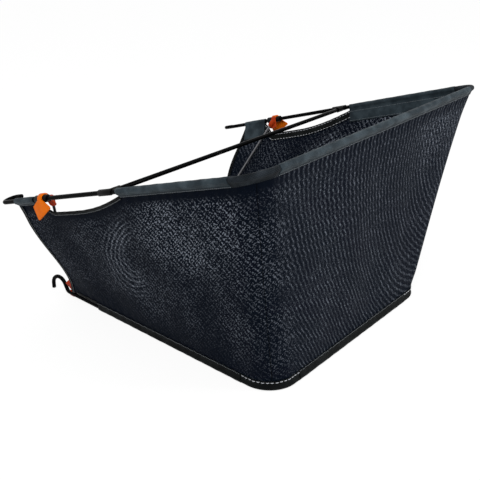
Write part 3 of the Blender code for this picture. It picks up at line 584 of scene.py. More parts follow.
def grid_faces(rows, columns):
    """Quads of a grid, one for each cell."""
    corner = np.arange(rows * columns).reshape(rows, columns)
    cells = [corner[:-1, :-1], corner[:-1, 1:], corner[1:, 1:], corner[1:, :-1]]
    return np.stack([cell.ravel() for cell in cells], axis=-1)


def mirrored(points, side):
    """The points, or their mirror image on the right."""
    return points * np.array((side, 1.0, 1.0))


def cloth(node, points, thickness, finish, side=1.0):
    """A node's cloth piece from a grid, kept in sheets, with its own lengths as its UV map.

    Along is the mean length of the steps from row to row, and across is each row's own steps,
    both added up from the first corner.
    """
    points = mirrored(points, side)
    rows, columns = points.shape[:2]
    along = np.linalg.norm(np.diff(points, axis=0), axis=-1).mean(axis=1)
    across = np.linalg.norm(np.diff(points, axis=1), axis=-1)
    along = np.concatenate([[0.0], np.cumsum(along)])[:, None] * np.ones((1, columns))
    across = np.concatenate([np.zeros((rows, 1)), np.cumsum(across, axis=1)], axis=1)
    faces = grid_faces(rows, columns)
    made = piece(f"{node}_cloth", points, faces.tolist(), soft[finish], [node])
    lengths = np.stack([along, across], axis=-1).reshape(-1, 2)[faces.ravel()]
    layer = made.data.uv_layers.new(name="cloth")
    layer.data.foreach_set("uv", lengths.astype(np.float32).ravel())
    wall_thickness = made.modifiers.new("thickness", "SOLIDIFY")
    wall_thickness.thickness = thickness
    wall_thickness.offset = 0.0
    sheets[node] = made, points


def cloth_pair(stem, points, thickness, finish):
    """A cloth piece on the left, and its mirror image on the right."""
    for side_name, side in SIDES.items():
        cloth(f"{stem}_{side_name}", points, thickness, finish, side)


def area_of(points):
    """Area of a grid: half the cross product of each cell's diagonals."""
    first = points[1:, 1:] - points[:-1, :-1]
    second = points[1:, :-1] - points[:-1, 1:]
    return float(np.linalg.norm(np.cross(first, second), axis=-1).sum() / 2)


print("helpers ready")

# %% [markdown]
# ## Walls
# The two sides and the rear are separate panels that meet at the middle of each rear corner. A
# side's upper edge dips between the tab at the front and the sleeve at the rear, where a hand
# can reach the rod: a smooth step down, then a quarter of a sine back up. The front edge sways.

# %% Mesh panels
MESH_THICKNESS = 0.0006
TAB = (0.039, 0.0945)
TOP_SLEEVE = (0.314, 0.544)
DIP = 0.0235
DIP_FORE_RUN = 0.024
DIP_REAR_RUN = 0.124
PANEL_LOW_START = 0.0155
EDGE_SWAY = 0.0155
SEAM_GAP = 0.0008
LEG_COLUMNS = 150
CORNER_COLUMNS = 13
BAR_COLUMNS = 66
SIDE_ROWS = 90
REAR_ROWS = 100


def top_edge_depth(q):
    """Depth of the walls' upper edge: the seam's depth, and the dip between tab and sleeve."""
    station = TOP.run(np.minimum(q, 6 - q))
    fore = rise_between(station, TAB[1], TAB[1] + DIP_FORE_RUN)
    rear = np.sin(math.pi / 2 * np.clip((TOP_SLEEVE[0] - station) / DIP_REAR_RUN, 0, 1))
    return SEAM + DIP * fore * rear


def edge_sway(part):
    """How far, as q, a front edge leaves a straight line: ahead above the middle, back below it."""
    return -EDGE_SWAY * 2 / (TOP.leg_length + LOW.leg_length) * part * np.sin(TURN * part)


def panel_grid(upper, lower, rows, follow=0.0):
    """Points of a panel: each column runs straight in q and share from its upper to its lower edge.

    follow is each column's share of the front edge's sway.
    """
    top_q, top_share = square_place(TOP, upper, top_edge_depth(upper))
    low_q, low_share = square_place(LOW, lower, SEAM)
    part = np.linspace(0, 1, rows)[None, :]
    q = top_q[:, None] + (low_q - top_q)[:, None] * part
    q = q + np.broadcast_to(follow, upper.shape)[:, None] * edge_sway(part)
    share = top_share[:, None] + (low_share - top_share)[:, None] * part
    return wall(q, share)[0]


seam_q = 1.5 - SEAM_GAP / 2 / (TOP.marks[2] - TOP.marks[1])
corner_q = np.linspace(1, seam_q, CORNER_COLUMNS)
side_upper = np.concatenate([np.linspace(TOP.at(TAB[0]), 1, LEG_COLUMNS)[:-1], corner_q])
side_lower = np.concatenate([np.linspace(LOW.at(PANEL_LOW_START), 1, LEG_COLUMNS)[:-1], corner_q])
sway_share = np.clip(1 - np.arange(len(side_upper)) / (LEG_COLUMNS - 1), 0, 1) ** 2
side_grid = panel_grid(side_upper, side_lower, SIDE_ROWS, sway_share)
rear_half = np.concatenate([np.linspace(3 - seam_q, 2, CORNER_COLUMNS)[:-1],
                            np.linspace(2, 3, BAR_COLUMNS)])
rear_q = np.concatenate([rear_half, 6 - rear_half[-2::-1]])
rear_grid = panel_grid(rear_q, rear_q, REAR_ROWS)
cloth_pair("side_panel", side_grid, MESH_THICKNESS, "side_mesh")
cloth("rear_panel", rear_grid, MESH_THICKNESS, "rear_mesh")
print(f"side {area_of(side_grid):.3f} m2, rear {area_of(rear_grid):.3f} m2")

# %% [markdown]
# ## Sleeves
# A sleeve is a strip folded round the rod, its two legs sewn to both faces of the wall. Its
# section is a line: down the outer leg, three quarters round the rod, and down the inner leg.
# The same section carried along the rod makes the strip.

# %% Sleeves and tabs
SLEEVE_THICKNESS = 0.0010
TAPE_THICKNESS = 0.0008
GAP = 0.0003
CLOTH = 0.0012
SLEEVE_PLAY = 0.0005
SLEEVE_RING = ROD / 2 + SLEEVE_PLAY + SLEEVE_THICKNESS / 2
LEG_STAND = CLOTH / 2 + GAP + SLEEVE_THICKNESS / 2
LEG_START = SEAM - SEAM_GAP / 2
RING_OPENING = math.radians(45)
CREASE = 0.00022
SHORT_CREASE = 0.031
LONG_CREASE = 0.087
RING_POINTS = 41


def sleeve_grid(rod, q, inner_depth, outer_depth, inner_stand=LEG_STAND):
    """Points of a sleeve: rows along the rod, and columns along its section.

    The ring is a circle round the rod with faint creases along its length, and the legs are
    offsets of the wall.
    """
    q = np.asarray(q, float)
    inner_depth = np.broadcast_to(inner_depth, q.shape)
    point, into, out = across_rod(rod, q)
    run = rod.run(q)[:, None]
    angle = np.linspace(RING_OPENING, TURN - RING_OPENING, RING_POINTS)[None, :]
    crease = np.sin(TURN * run / SHORT_CREASE + 3 * np.sin(angle))
    crease = crease * np.sin(TURN * run / LONG_CREASE + 2 * angle)
    radius = (SLEEVE_RING + CREASE * crease)[..., None]
    around = into[:, None] * np.cos(angle)[..., None] + out[:, None] * np.sin(angle)[..., None]
    ring = point[:, None] + around * radius
    outer_leg = np.linspace(outer_depth, LEG_START, 4)[None, :] * np.ones_like(q)[:, None]
    spot, side_way = below(rod, q[:, None], outer_leg)
    outer = spot + side_way * LEG_STAND
    inner_leg = LEG_START + (inner_depth[:, None] - LEG_START) * np.linspace(0, 1, 14)[None, :]
    spot, side_way = below(rod, q[:, None], inner_leg)
    inner = spot - side_way * inner_stand
    return np.concatenate([outer, ring, inner], axis=1)


TOP_OUTER_DEPTH = 0.0105
TOP_INNER_DEPTH = 0.032
REAR_SLEEVE = 0.578
TAB_DEPTH = 0.038
TAB_CORNER = 0.012
LOW_SLEEVE = (0.094, 0.454)
LOW_DEPTH = 0.0135
LOW_REAR_SLEEVE = 0.346


def leg_q(rod, span, steps):
    """Evenly spaced q along a leg, between two distances from the front end."""
    return rod.at(np.linspace(span[0], span[1], steps))


def rear_bar_q(rod, span, steps):
    """Evenly spaced q along the rear bar, over a span centred on its middle."""
    middle = rod.run(3.0)
    return rod.at(np.linspace(middle - span / 2, middle + span / 2, steps))


tab_q = leg_q(TOP, TAB, 27)
from_corner = np.maximum(0, TOP.run(tab_q) - TAB[1] + TAB_CORNER)
tab_depth = TAB_DEPTH - TAB_CORNER + np.sqrt(TAB_CORNER ** 2 - from_corner ** 2)
grids = {
    "top_sleeve": sleeve_grid(TOP, leg_q(TOP, TOP_SLEEVE, 111), TOP_INNER_DEPTH, TOP_OUTER_DEPTH),
    "tab": sleeve_grid(TOP, tab_q, tab_depth, TOP_OUTER_DEPTH, LEG_STAND + TAPE_THICKNESS + GAP),
    "bottom_sleeve": sleeve_grid(LOW, leg_q(LOW, LOW_SLEEVE, 151), LOW_DEPTH, LOW_DEPTH),
}
for stem, grid in grids.items():
    finish = "tape" if stem == "bottom_sleeve" else "nylon"
    cloth_pair(stem, grid, SLEEVE_THICKNESS, finish)
rear_top = sleeve_grid(TOP, rear_bar_q(TOP, REAR_SLEEVE, 241), TOP_INNER_DEPTH, TOP_OUTER_DEPTH)
rear_low = sleeve_grid(LOW, rear_bar_q(LOW, LOW_REAR_SLEEVE, 151), LOW_DEPTH, LOW_DEPTH)
cloth("top_sleeve_rear", rear_top, SLEEVE_THICKNESS, "nylon")
cloth("bottom_sleeve_rear", rear_low, SLEEVE_THICKNESS, "tape")
print(2 * len(grids) + 2, "sleeves and tabs")

# %% [markdown]
# ## Tapes folded over edges
# Free edges of the mesh are bound with a narrow tape folded in half over them. Its section is a
# leg, a half circle round the edge, and a leg back, so one function serves every binding. At the
# rear corners, between the sleeves, a wider hem goes round the rod itself: up the wall's outer
# face, round the rod's skin, and down the inner face.

# %% Hems and bindings
FOLD = CLOTH / 2 + GAP + TAPE_THICKNESS / 2
HEM_DEPTH = 0.016
BINDING = 0.007
EDGE_OUTER = 0.005
EDGE_INNER = 0.015
FRONT_HEM = (0.034, LOW_SLEEVE[0] - SEAM_GAP)
WRAP_PLAY = 0.0002
WRAP_RING = ROD / 2 + WRAP_PLAY + TAPE_THICKNESS / 2
WRAP_OPENING = math.radians(32)
WRAP_POINTS = 33


def folded_grid(sheet, outer_width, inner_width):
    """Points of a folded tape. sheet gives points and outward directions at distances from the edge."""
    angle = np.linspace(0, math.pi, 7)
    distance = np.concatenate([np.linspace(outer_width, 0, 5), -FOLD * np.sin(angle[1:-1]),
                               np.linspace(0, inner_width, 7)])
    offset = np.concatenate([np.full(5, FOLD), FOLD * np.cos(angle[1:-1]), np.full(7, -FOLD)])
    spot, out = sheet(distance[None, :])
    return spot + out * offset[None, :, None]


def wrapped_grid(rod, q, outer_depth):
    """Points of a hem round the rod: a leg outside, most of a circle, and a leg inside."""
    point, into, out = across_rod(rod, q)
    angle = np.linspace(WRAP_OPENING, TURN - WRAP_OPENING, WRAP_POINTS)[None, :, None]
    ring = point[:, None] + (into[:, None] * np.cos(angle) + out[:, None] * np.sin(angle)) * WRAP_RING
    spot, side_way = below(rod, q[:, None], np.linspace(outer_depth, SEAM - SEAM_GAP, 4)[None, :])
    outer = spot + side_way * FOLD
    spot, side_way = below(rod, q[:, None], np.linspace(SEAM - SEAM_GAP, HEM_DEPTH, 6)[None, :])
    return np.concatenate([outer, ring, spot - side_way * FOLD], axis=1)


def hem_grid(rod, q):
    """A hem beside a bare stretch of rod, folded over the wall's edge."""
    width = HEM_DEPTH - SEAM
    return folded_grid(lambda distance: below(rod, q[:, None], SEAM + distance), width, width)


def corner_span(rod, leg_end, bar_end, steps):
    """The q of a stretch of rod round the left rear corner, a little clear of both sleeves."""
    start = leg_end + SEAM_GAP
    end = rod.run(3.0) - bar_end / 2 - SEAM_GAP
    return rod.at(np.linspace(start, end, steps))


def front_edge(distance):
    """Points and directions of the side panel at a distance from its front edge."""
    top_q, top_share = square_place(TOP, side_upper[0], SEAM)
    low_q, low_share = square_place(LOW, side_lower[0], SEAM)
    part = np.linspace(front_part, 1, 80)[:, None]
    q = top_q + (low_q - top_q) * part + edge_sway(part)
    share = top_share + (low_share - top_share) * part
    reach = TOP.leg_length + (LOW.leg_length - TOP.leg_length) * share
    return wall(q + distance / reach, share * np.ones_like(distance))


ruling = np.linalg.norm(LOW.place(0.0)[0] - TOP.place(0.0)[0])
front_part = (TOP_OUTER_DEPTH + SEAM_GAP - SEAM) / (ruling - 2 * SEAM)
edge_q = leg_q(TOP, (TAB[1] + SEAM_GAP, TOP_SLEEVE[0] - SEAM_GAP), 120)
tapes = {
    "top_hem": wrapped_grid(TOP, corner_span(TOP, TOP_SLEEVE[1], REAR_SLEEVE, 60), TOP_OUTER_DEPTH),
    "bottom_hem": wrapped_grid(LOW, corner_span(LOW, LOW_SLEEVE[1], LOW_REAR_SLEEVE, 60), LOW_DEPTH),
    "front_hem": hem_grid(LOW, leg_q(LOW, FRONT_HEM, 30)),
    "edge_binding": folded_grid(
        lambda distance: below(TOP, edge_q[:, None], top_edge_depth(edge_q)[:, None] + distance),
        EDGE_OUTER, EDGE_INNER),
    "front_binding": folded_grid(front_edge, BINDING, BINDING),
}
for stem, grid in tapes.items():
    cloth_pair(stem, grid, TAPE_THICKNESS, "hem" if stem == "top_hem" else "tape")
print(2 * len(tapes), "folded tapes")

# %% [markdown]
# ## Corner tapes and floor
# Where a side meets the rear a tape covers the seam inside. The floor is a plain black sheet
# between the lower sleeves. It sags a little, and its free front edge is bound like the walls.

# %% Corner tapes and floor
CORNER_TAPE = 0.016
FLOOR_FRONT = 0.045
FLOOR_INSET = 0.0046
FLOOR_THICKNESS = 0.0012
FLOOR_HEM = 0.012
FLOOR_SAG = 0.0004
FLOOR_LEVEL = ROD / 2 + SLEEVE_PLAY + SLEEVE_THICKNESS + GAP + FLOOR_THICKNESS / 2
corner_run = TOP.marks[2] - TOP.marks[1]
tape_q = 1.5 + np.linspace(-0.5, 0.5, 9) * CORNER_TAPE / corner_run
top_q, top_share = square_place(TOP, tape_q, HEM_DEPTH + SEAM_GAP)
low_q, low_share = square_place(LOW, tape_q, HEM_DEPTH + SEAM_GAP)
part = np.linspace(0, 1, 120)[None, :]
spot, out = wall(top_q[:, None] + (low_q - top_q)[:, None] * part,
                 top_share[:, None] + (low_share - top_share)[:, None] * part)
cloth_pair("corner_tape", spot - out * FOLD, TAPE_THICKNESS, "tape")


def floor_outline(q):
    """Half width and depth of the floor at q: beside the wall's inner face."""
    top = TOP.place(q)[0]
    spot, out = wall(q, 1 - (FLOOR_LEVEL + FLOOR_THICKNESS / 2) / top[..., 2])
    level = unit(out * np.array((1.0, 1.0, 0.0)))
    return (spot - level * FLOOR_INSET)[..., :2]


leg_and_corner = [np.linspace(LOW.at(FLOOR_FRONT), 1, 60)[:-1], np.linspace(1, 2, 40)]
edge = floor_outline(np.concatenate(leg_and_corner))
edge[0, 1] = FLOOR_FRONT
across = np.linspace(-1, 1, 121)[None, :]
rows = edge[:, 1][:, None] * np.ones_like(across)
# The sag is greatest in the middle, and is broken by two slow waves.
sag = -FLOOR_SAG * np.cos(across * math.pi / 2) * np.sin(rows * 47) * np.sin(across * 9 + rows * 21)
floor_grid = np.stack([edge[:, 0][:, None] * across, rows, FLOOR_LEVEL + sag], axis=-1)
cloth("floor_panel", floor_grid, FLOOR_THICKNESS / 2, "tape")
hem_x = np.linspace(1, -1, 81)[:, None] * (edge[0, 0] - SEAM_GAP)


def floor_front(distance):
    """Points and upward directions of the floor at a distance from its front edge."""
    x, y = np.broadcast_arrays(hem_x, FLOOR_FRONT + distance)
    return np.stack([x, y, np.full_like(x, FLOOR_LEVEL)], axis=-1), np.array((0.0, 0.0, 1.0))


cloth("floor_hem", folded_grid(floor_front, FLOOR_HEM, FLOOR_HEM), TAPE_THICKNESS, "tape")
print(f"floor {area_of(floor_grid):.3f} m2")

# %% [markdown]
# ## Rods
# A rod is a circle carried along its centre line, with its ends rounded as a coated cut end is.
# Frames that turn with the line and never twist keep the circle's points in row.

# %% Rods and wires
SIDES_OF_ROD = 20
DOME_STEPS = 4
DOME_SQUASH = 3
TIP = 0.02
ANY_WAY = (0.31, 0.22, 0.93)


def tube(node, line, radius, finish):
    """A node's round rod along points, with domed ends.

    Each circle stands square to the line. Its first radius is the last one's, laid square to the
    new direction. The ends are quarter circles of the rod's own radius, squashed to a third.
    """
    line = np.asarray(line, float)
    way = unit(np.gradient(line, axis=0))
    dome = np.linspace(0, math.pi / 2, DOME_STEPS + 1)[1:]
    caps = [line[0] - way[0] * radius * (np.sin(dome[::-1])[:, None] / DOME_SQUASH),
            line[-1] + way[-1] * radius * (np.sin(dome)[:, None] / DOME_SQUASH)]
    centre = np.concatenate([caps[0], line, caps[1]])
    way = np.concatenate([np.tile(way[0], (DOME_STEPS, 1)), way, np.tile(way[-1], (DOME_STEPS, 1))])
    thick = np.concatenate([np.cos(dome[::-1]), np.ones(len(line)), np.cos(dome)]) * radius
    thick = np.maximum(thick, radius * TIP)
    normal = np.zeros_like(way)
    normal[0] = unit(np.cross(way[0], ANY_WAY))
    for index in range(1, len(way)):
        normal[index] = unit(normal[index - 1] - way[index] * (normal[index - 1] @ way[index]))
    side = np.cross(way, normal)
    angle = np.linspace(0, TURN, SIDES_OF_ROD, endpoint=False)
    ring = normal[:, None] * np.cos(angle)[None, :, None] + side[:, None] * np.sin(angle)[None, :, None]
    points = centre[:, None] + ring * thick[:, None, None]
    corner = np.arange(len(centre) * SIDES_OF_ROD).reshape(-1, SIDES_OF_ROD)
    turned = np.roll(corner, -1, axis=1)
    faces = np.stack([corner[:-1], turned[:-1], turned[1:], corner[1:]], axis=-1).reshape(-1, 4).tolist()
    faces += [corner[0][::-1].tolist(), corner[-1].tolist()]
    piece(f"{node}_rod", points, faces, hard[finish], [node])


def bent_part(rod):
    """Points from the front of a leg round the corner to the bar's middle, closest in the corner."""
    spans = ((0.02, 0.99, 24), (1, 2, 25), (2.03, 2.98, 12))
    return rod.place(np.concatenate([np.linspace(*span) for span in spans]))[0]


def both_halves(half):
    """A line from the left end to the middle, carried on to the right end."""
    return np.concatenate([half, mirrored(half[::-1], -1.0)])


STEP = 0.001
END_DOME = 0.0013
TOP_HOOK = {"station": 0.0065, "radius": 0.013, "limb": 0.012, "tilt": math.radians(7)}
above = np.cross(TOP.leg, TOP.inward)
aside = TOP.inward * math.cos(TOP_HOOK["tilt"]) + above * math.sin(TOP_HOOK["tilt"])
angle = np.linspace(math.pi, 0, 25)[:, None]
hook_start = TOP.front + TOP.leg * TOP_HOOK["station"]
curl = hook_start + (aside * (1 - np.cos(angle)) - TOP.leg * np.sin(angle)) * TOP_HOOK["radius"]
limb = curl[0] + TOP.leg * np.linspace(TOP_HOOK["limb"], STEP, 4)[:, None]
top_half = np.concatenate([limb, curl, bent_part(TOP)])
tube("top_frame", both_halves(top_half), ROD / 2, "rod")

LOW_HOOK = {"bend": 0.008, "rise": math.radians(62), "length": 0.0117, "radius": 0.0184, "drop": 0.0106}
ahead, up = np.array((0.0, -1.0, 0.0)), np.array((0.0, 0.0, 1.0))
angle = np.linspace(0, LOW_HOOK["rise"], 11)[:, None]
bend = LOW.front + (ahead * np.sin(angle) + up * (1 - np.cos(angle))) * LOW_HOOK["bend"]
climb = ahead * math.cos(LOW_HOOK["rise"]) + up * math.sin(LOW_HOOK["rise"])
crest = bend[-1] + climb * LOW_HOOK["length"]
centre = crest + (ahead * math.sin(LOW_HOOK["rise"]) - up * math.cos(LOW_HOOK["rise"])) * LOW_HOOK["radius"]
lean = np.linspace(LOW_HOOK["rise"], -math.pi / 2, 25)[:, None]
over = centre + (up * np.cos(lean) - ahead * np.sin(lean)) * LOW_HOOK["radius"]
tip = over[-1] - up * np.linspace(STEP, LOW_HOOK["drop"] - END_DOME, 4)[:, None]
shank = crest - climb * np.linspace(2 * STEP, LOW_HOOK["length"] - 2 * STEP, 4)[:, None]
low_half = np.concatenate([tip[::-1], over[::-1], shank, bend[::-1], bent_part(LOW)])
tube("bottom_frame", both_halves(low_half), ROD / 2, "rod")
print("hook tips at", np.round(top_half[0], 4), np.round(low_half[0], 4))

# %% [markdown]
# ## Cross bar and struts
# The bar and the two thin struts are straight, so their ends are read from their solids: the
# solid's points nearest each end give the middle of its end face.

# %% Straight rods
FLAT = 0.0002


def ends_of(node, axis):
    """Middles of a straight solid's two end faces, found along one axis of the room."""
    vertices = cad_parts[node].data.vertices
    points = np.empty(len(vertices) * 3)
    vertices.foreach_get("co", points)
    points = points.reshape(-1, 3)
    spread = points[:, axis]
    middle = points.mean(axis=0)
    way = unit(points[spread.argmax()] - points[spread.argmin()])
    reach = (points - middle) @ way
    return [points[reach < reach.min() + FLAT].mean(axis=0), points[reach > reach.max() - FLAT].mean(axis=0)]


BAR_RADIUS = 0.00375
STRUT_RADIUS = 0.0025
INSET_ENDS = 0.0012
for name, axis, radius in (("cross_bar", 0, BAR_RADIUS), ("strut_left", 2, STRUT_RADIUS),
                           ("strut_right", 2, STRUT_RADIUS)):
    first, last = ends_of(name, axis)
    inset = unit(last - first) * INSET_ENDS
    line = np.linspace(first + inset, last - inset, 9)
    tube(name, line, radius, "rod" if name == "cross_bar" else "wire")
    print(name, "is", round(float(np.linalg.norm(last - first)) * 1000, 1), "mm long")

# %% [markdown]
# ## Clips
# The moulded pieces keep the shapes of their solids. A moulding has no knife edge, though, so
# each solid is copied, its loose triangles are merged, and its edges get a small round bevel.

# %% Moulded clips, collars and rivets
# Each kind of piece: how round its edges are, in metres, and its finish.
MOULDED = {"clip": (0.0006, "clip"), "lower_clip": (0.0005, "clip"), "clip_saddle": (0.0004, "collar"),
           "cross_bar_saddle": (0.0004, "collar"), "lower_rivet": (0.0003, "rivet")}
WELD_REACH = 0.00002
SHARP = math.radians(38)


def softened(node, radius, slot):
    """A copy of a solid with its sharp edges rounded, standing for that solid."""
    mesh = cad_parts[node].data.copy()
    mesh.name = f"{node}_moulded"
    made = bpy.data.objects.new(f"{node}_moulded", mesh)
    bpy.context.scene.collection.objects.link(made)
    weld = made.modifiers.new("weld", "WELD")
    weld.merge_threshold = WELD_REACH
    bevel = made.modifiers.new("round edges", "BEVEL")
    bevel.width = radius
    bevel.segments = 3
    bevel.limit_method = "ANGLE"
    bevel.angle_limit = SHARP
    bevel.use_clamp_overlap = True
    bevel.harden_normals = True
    mesh.materials.clear()
    mesh.materials.append(hard[slot])
    mesh.shade_smooth()
    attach(made, "root")
    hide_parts(node)


for side_name in SIDES:
    for stem, (radius, slot) in MOULDED.items():
        softened(f"{stem}_{side_name}", radius, slot)
print(2 * len(MOULDED), "mouldings and rivets")

# %% [markdown]
# ## Stitching
# Seams are what make cloth read as sewn. A stitch is a tiny rod of thread with sunken ends. One
# stitch is modelled, and numpy places hundreds of copies of it along a seam in one step. The
# scalloped edges and the lower corners show a coarser stitch in a paler thread.

# %% Rows of stitches
STITCH = 0.0026
STITCH_PITCH = 0.0036
THREAD = 0.00032
THREAD_SIDES = 6
STITCH_STEPS = 5
COARSE = 2.1


def stitch_shape():
    """Points and quads of one stitch: a six-sided thread whose height is a flat arch."""
    along = np.linspace(-0.5, 0.5, STITCH_STEPS)
    arch = (1 - (2 * along) ** 2) * THREAD * 1.1 - THREAD * 0.4
    angle = np.linspace(0, TURN, THREAD_SIDES, endpoint=False)
    thick = THREAD * np.sqrt(1 - (1.7 * along) ** 2)
    x = np.repeat(along * STITCH, THREAD_SIDES)
    y = (thick[:, None] * np.cos(angle)[None, :]).ravel()
    z = (arch[:, None] + thick[:, None] * np.sin(angle)[None, :]).ravel()
    corner = np.arange(STITCH_STEPS * THREAD_SIDES).reshape(STITCH_STEPS, THREAD_SIDES)
    turned = np.roll(corner, -1, axis=1)
    quads = np.stack([corner[:-1], turned[:-1], turned[1:], corner[1:]], axis=-1).reshape(-1, 4)
    return np.stack([x, y, z], axis=-1), quads


def stitched(name, rows, side=1.0, finish="thread", coarse=1.0):
    """Rows of stitches on cloth, each row a line of points and outward directions.

    Every row is walked at the stitch pitch, and one stitch is set at each step in the frame of
    the row's direction, the outward direction and their cross product. coarse enlarges them.
    Gives the number of stitches.
    """
    shape, quads = stitch_shape()
    shape, pitch = shape * coarse, STITCH_PITCH * coarse
    placed = []
    for line, out in rows:
        steps = np.linalg.norm(np.diff(line, axis=0), axis=-1)
        run = np.concatenate([[0.0], np.cumsum(steps)])
        at = np.arange(pitch / 2, run[-1], pitch)
        spot = np.stack([np.interp(at, run, line[:, axis]) for axis in range(3)], axis=-1)
        up_way = unit(np.stack([np.interp(at, run, out[:, axis]) for axis in range(3)], axis=-1))
        way = unit(np.gradient(spot, axis=0))
        side_way = np.cross(up_way, way)
        axes = np.stack([way, side_way, np.cross(way, side_way)], axis=1)
        placed.append(spot[:, None] + np.einsum("pa,nab->npb", shape, axes))
    points = mirrored(np.concatenate(placed), side)
    faces = (quads[None] + np.arange(len(points))[:, None, None] * len(shape)).reshape(-1, 4)
    if side < 0:
        faces = faces[:, ::-1]
    piece(name, points, faces.tolist(), soft[finish])
    return len(faces) // len(quads)


def leg_rows(rod, q, depths, stand):
    """Rows along a rod at depths on the wall: on the outer leg for a positive stand, else the inner."""
    found = []
    for depth in depths:
        spot, out = below(rod, q, depth)
        found.append((spot + out * stand, out * np.sign(stand)))
    return found


SLEEVE_FACE = LEG_STAND + SLEEVE_THICKNESS / 2
TAPE_FACE = FOLD + TAPE_THICKNESS / 2
INSET = 0.0012
side_q = leg_q(TOP, TOP_SLEEVE, 90)
low_side_q = leg_q(LOW, LOW_SLEEVE, 120)
low_corner_q = corner_span(LOW, LOW_SLEEVE[1], LOW_REAR_SLEEVE, 60)
top_bar_q = rear_bar_q(TOP, REAR_SLEEVE, 200)
low_bar_q = rear_bar_q(LOW, LOW_REAR_SLEEVE, 150)
edge_depth = top_edge_depth(edge_q)
side_rows = (
    leg_rows(TOP, side_q, [TOP_OUTER_DEPTH - INSET], SLEEVE_FACE)
    + leg_rows(TOP, side_q, [TOP_INNER_DEPTH - 2 * INSET, TOP_OUTER_DEPTH], -SLEEVE_FACE)
    + leg_rows(TOP, tab_q, [TOP_OUTER_DEPTH - INSET], SLEEVE_FACE)
    + leg_rows(LOW, low_side_q, [LOW_DEPTH - INSET], SLEEVE_FACE)
    + leg_rows(LOW, low_side_q, [LOW_DEPTH - INSET], -SLEEVE_FACE)
)
# The coarse rows: the hem of the lower corners, and the inner leg of the scalloped edges.
edge_rows = leg_rows(LOW, low_corner_q, [LOW_DEPTH - 2 * INSET], TAPE_FACE)
for distance in (2 * INSET, EDGE_INNER - INSET):
    spot, out = below(TOP, edge_q, edge_depth + distance)
    edge_rows.append((spot - out * TAPE_FACE, -out))
spot, out = below(TOP, edge_q, edge_depth + EDGE_OUTER - INSET)
side_rows.append((spot + out * TAPE_FACE, out))
spot, out = front_edge(np.full((1, 1), BINDING - INSET))
side_rows.append((spot[:, 0] + out[:, 0] * TAPE_FACE, out[:, 0]))
rear_rows = (
    leg_rows(TOP, top_bar_q, [TOP_OUTER_DEPTH - INSET], SLEEVE_FACE)
    + leg_rows(TOP, top_bar_q, [TOP_INNER_DEPTH - 2 * INSET], -SLEEVE_FACE)
    + leg_rows(LOW, low_bar_q, [LOW_DEPTH - INSET], SLEEVE_FACE)
)
count = sum(stitched(f"stitching_{side_name}", side_rows, side) for side_name, side in SIDES.items())
count += stitched("stitching_rear", rear_rows)
for side_name, side in SIDES.items():
    count += stitched(f"edge_stitching_{side_name}", edge_rows, side, "pale_thread", COARSE)
print(count, "stitches")

# %% [markdown]
# ## Cut sizes of the cloth
# Each piece of cloth was cut flat before it was sewn, so its flat width and length are stated.
# They are read from the grids: the longest row and the longest column of each.

def flat_size(points):
    """Width and length of a grid laid flat: the longest row and the longest column."""
    across = np.linalg.norm(np.diff(points, axis=1), axis=-1).sum(axis=1).max()
    along = np.linalg.norm(np.diff(points, axis=0), axis=-1).sum(axis=0).max()
    return float(across), float(along)


def declare(node):
    """Prints a sheet's flat size and the area of its cut."""
    made, points = sheets[node]
    flat = flat_size(points)
    area = min(area_of(points), flat[0] * flat[1])
    print(f"{made.name}: {flat[0] * 1000:.0f} x {flat[1] * 1000:.0f} mm, {area * 10000:.0f} cm2")


UPPER, LOWER = ["top_frame"], ["bottom_frame"]
paired = {"side_panel": UPPER + LOWER, "top_sleeve": UPPER, "tab": UPPER, "bottom_sleeve": LOWER}
single = {"rear_panel": UPPER + LOWER, "top_sleeve_rear": UPPER, "bottom_sleeve_rear": LOWER,
          "floor_panel": LOWER, "floor_hem": ["floor_panel"]}
for side_name in SIDES:
    for stem, rests_on in paired.items():
        declare(f"{stem}_{side_name}")
    for stem in tapes:
        declare(f"{stem}_{side_name}")
    declare(f"corner_tape_{side_name}")
for node, rests_on in single.items():
    declare(node)

# %% [markdown]
# ## Room and light
# A plain studio: a pale floor, a bright even sky, and two broad lamps. The key lamp is over the
# camera's left shoulder and draws the long highlights on the sleeves, and the other lights the
# rear wall from the right. The floor and the sky look white to the camera, in reflections and
# through clear holes, but light the bag only at a plain level.

# %% Floor, sky and lamps
def seen_or_not(tree, seen, unseen):
    """Mixes two shaders: the first for the camera, gloss and glass, the second for all other light."""
    path = tree.nodes.new("ShaderNodeLightPath")
    seeing = path.outputs["Is Camera Ray"]
    for ray in ("Is Glossy Ray", "Is Transmission Ray"):
        either = tree.nodes.new("ShaderNodeMath")
        either.operation = "MAXIMUM"
        tree.links.new(seeing, either.inputs[0])
        tree.links.new(path.outputs[ray], either.inputs[1])
        seeing = either.outputs[0]
    mix = tree.nodes.new("ShaderNodeMixShader")
    tree.links.new(seeing, mix.inputs[0])
    tree.links.new(unseen.outputs[0], mix.inputs[1])
    tree.links.new(seen.outputs[0], mix.inputs[2])
    return mix


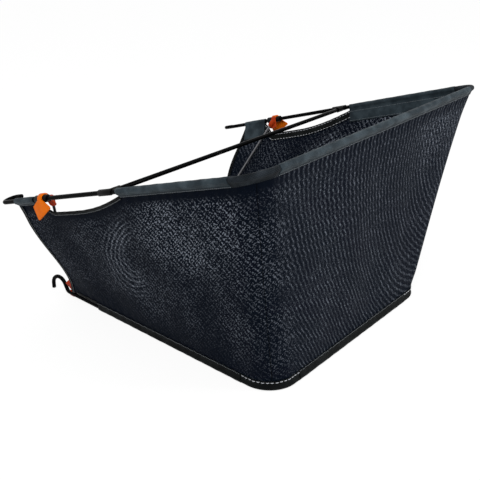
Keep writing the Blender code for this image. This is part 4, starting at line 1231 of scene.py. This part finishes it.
WHITE = (1.0, 1.0, 1.0, 1.0)
SKY_LIGHT = 0.64
FLOOR_WHITE = 0.86
FLOOR_GLOW = 1.09
GLOW_SHARE = 0.80
FLOOR_REACH = 9.0
LAMP_SIZE = 1.0
LAMP_POWER = 30.0
sky = bpy.data.worlds.new("studio")
bpy.context.scene.world = sky
sky.use_nodes = True
tree = sky.node_tree
tree.nodes.clear()
bright, lit = tree.nodes.new("ShaderNodeBackground"), tree.nodes.new("ShaderNodeBackground")
for background, strength in ((bright, 1.0), (lit, SKY_LIGHT)):
    background.inputs["Color"].default_value = WHITE
    background.inputs["Strength"].default_value = strength
output = tree.nodes.new("ShaderNodeOutputWorld")
tree.links.new(seen_or_not(tree, bright, lit).outputs[0], output.inputs["Surface"])

ground = bpy.data.materials.new("pale_floor")
ground.use_nodes = True
tree = ground.node_tree
tree.nodes.clear()
plain, glow = tree.nodes.new("ShaderNodeBsdfDiffuse"), tree.nodes.new("ShaderNodeEmission")
plain.inputs["Color"].default_value = (FLOOR_WHITE, FLOOR_WHITE, FLOOR_WHITE, 1.0)
glow.inputs["Strength"].default_value = FLOOR_GLOW
share = tree.nodes.new("ShaderNodeMixShader")
share.inputs[0].default_value = GLOW_SHARE
tree.links.new(plain.outputs[0], share.inputs[1])
tree.links.new(glow.outputs[0], share.inputs[2])
output = tree.nodes.new("ShaderNodeOutputMaterial")
tree.links.new(seen_or_not(tree, share, plain).outputs[0], output.inputs["Surface"])

floor_level = cad_low.z
corners = np.array([(-1, -1), (1, -1), (1, 1), (-1, 1)]) * FLOOR_REACH
mesh = bpy.data.meshes.new("floor")
mesh.from_pydata([(x, y, floor_level) for x, y in corners], [], [(0, 1, 2, 3)])
mesh.materials.append(ground)
floor = bpy.data.objects.new("floor", mesh)
bpy.context.scene.collection.objects.link(floor)


def lamp(name, place):
    """A square area lamp that faces the bag."""
    data = bpy.data.lights.new(name, "AREA")
    data.size = LAMP_SIZE
    data.energy = LAMP_POWER
    made = bpy.data.objects.new(name, data)
    made.location = place
    made.rotation_euler = (AIM - made.location).to_track_quat("-Z", "Y").to_euler()
    bpy.context.scene.collection.objects.link(made)


lamp("key", Vector((1.6, 1.2, 2.4)))
lamp("rear", Vector((-1.2, 2.6, 1.6)))
bpy.context.scene.view_settings.view_transform = "Standard"
print("floor at", round(floor_level * 1000, 2), "mm")
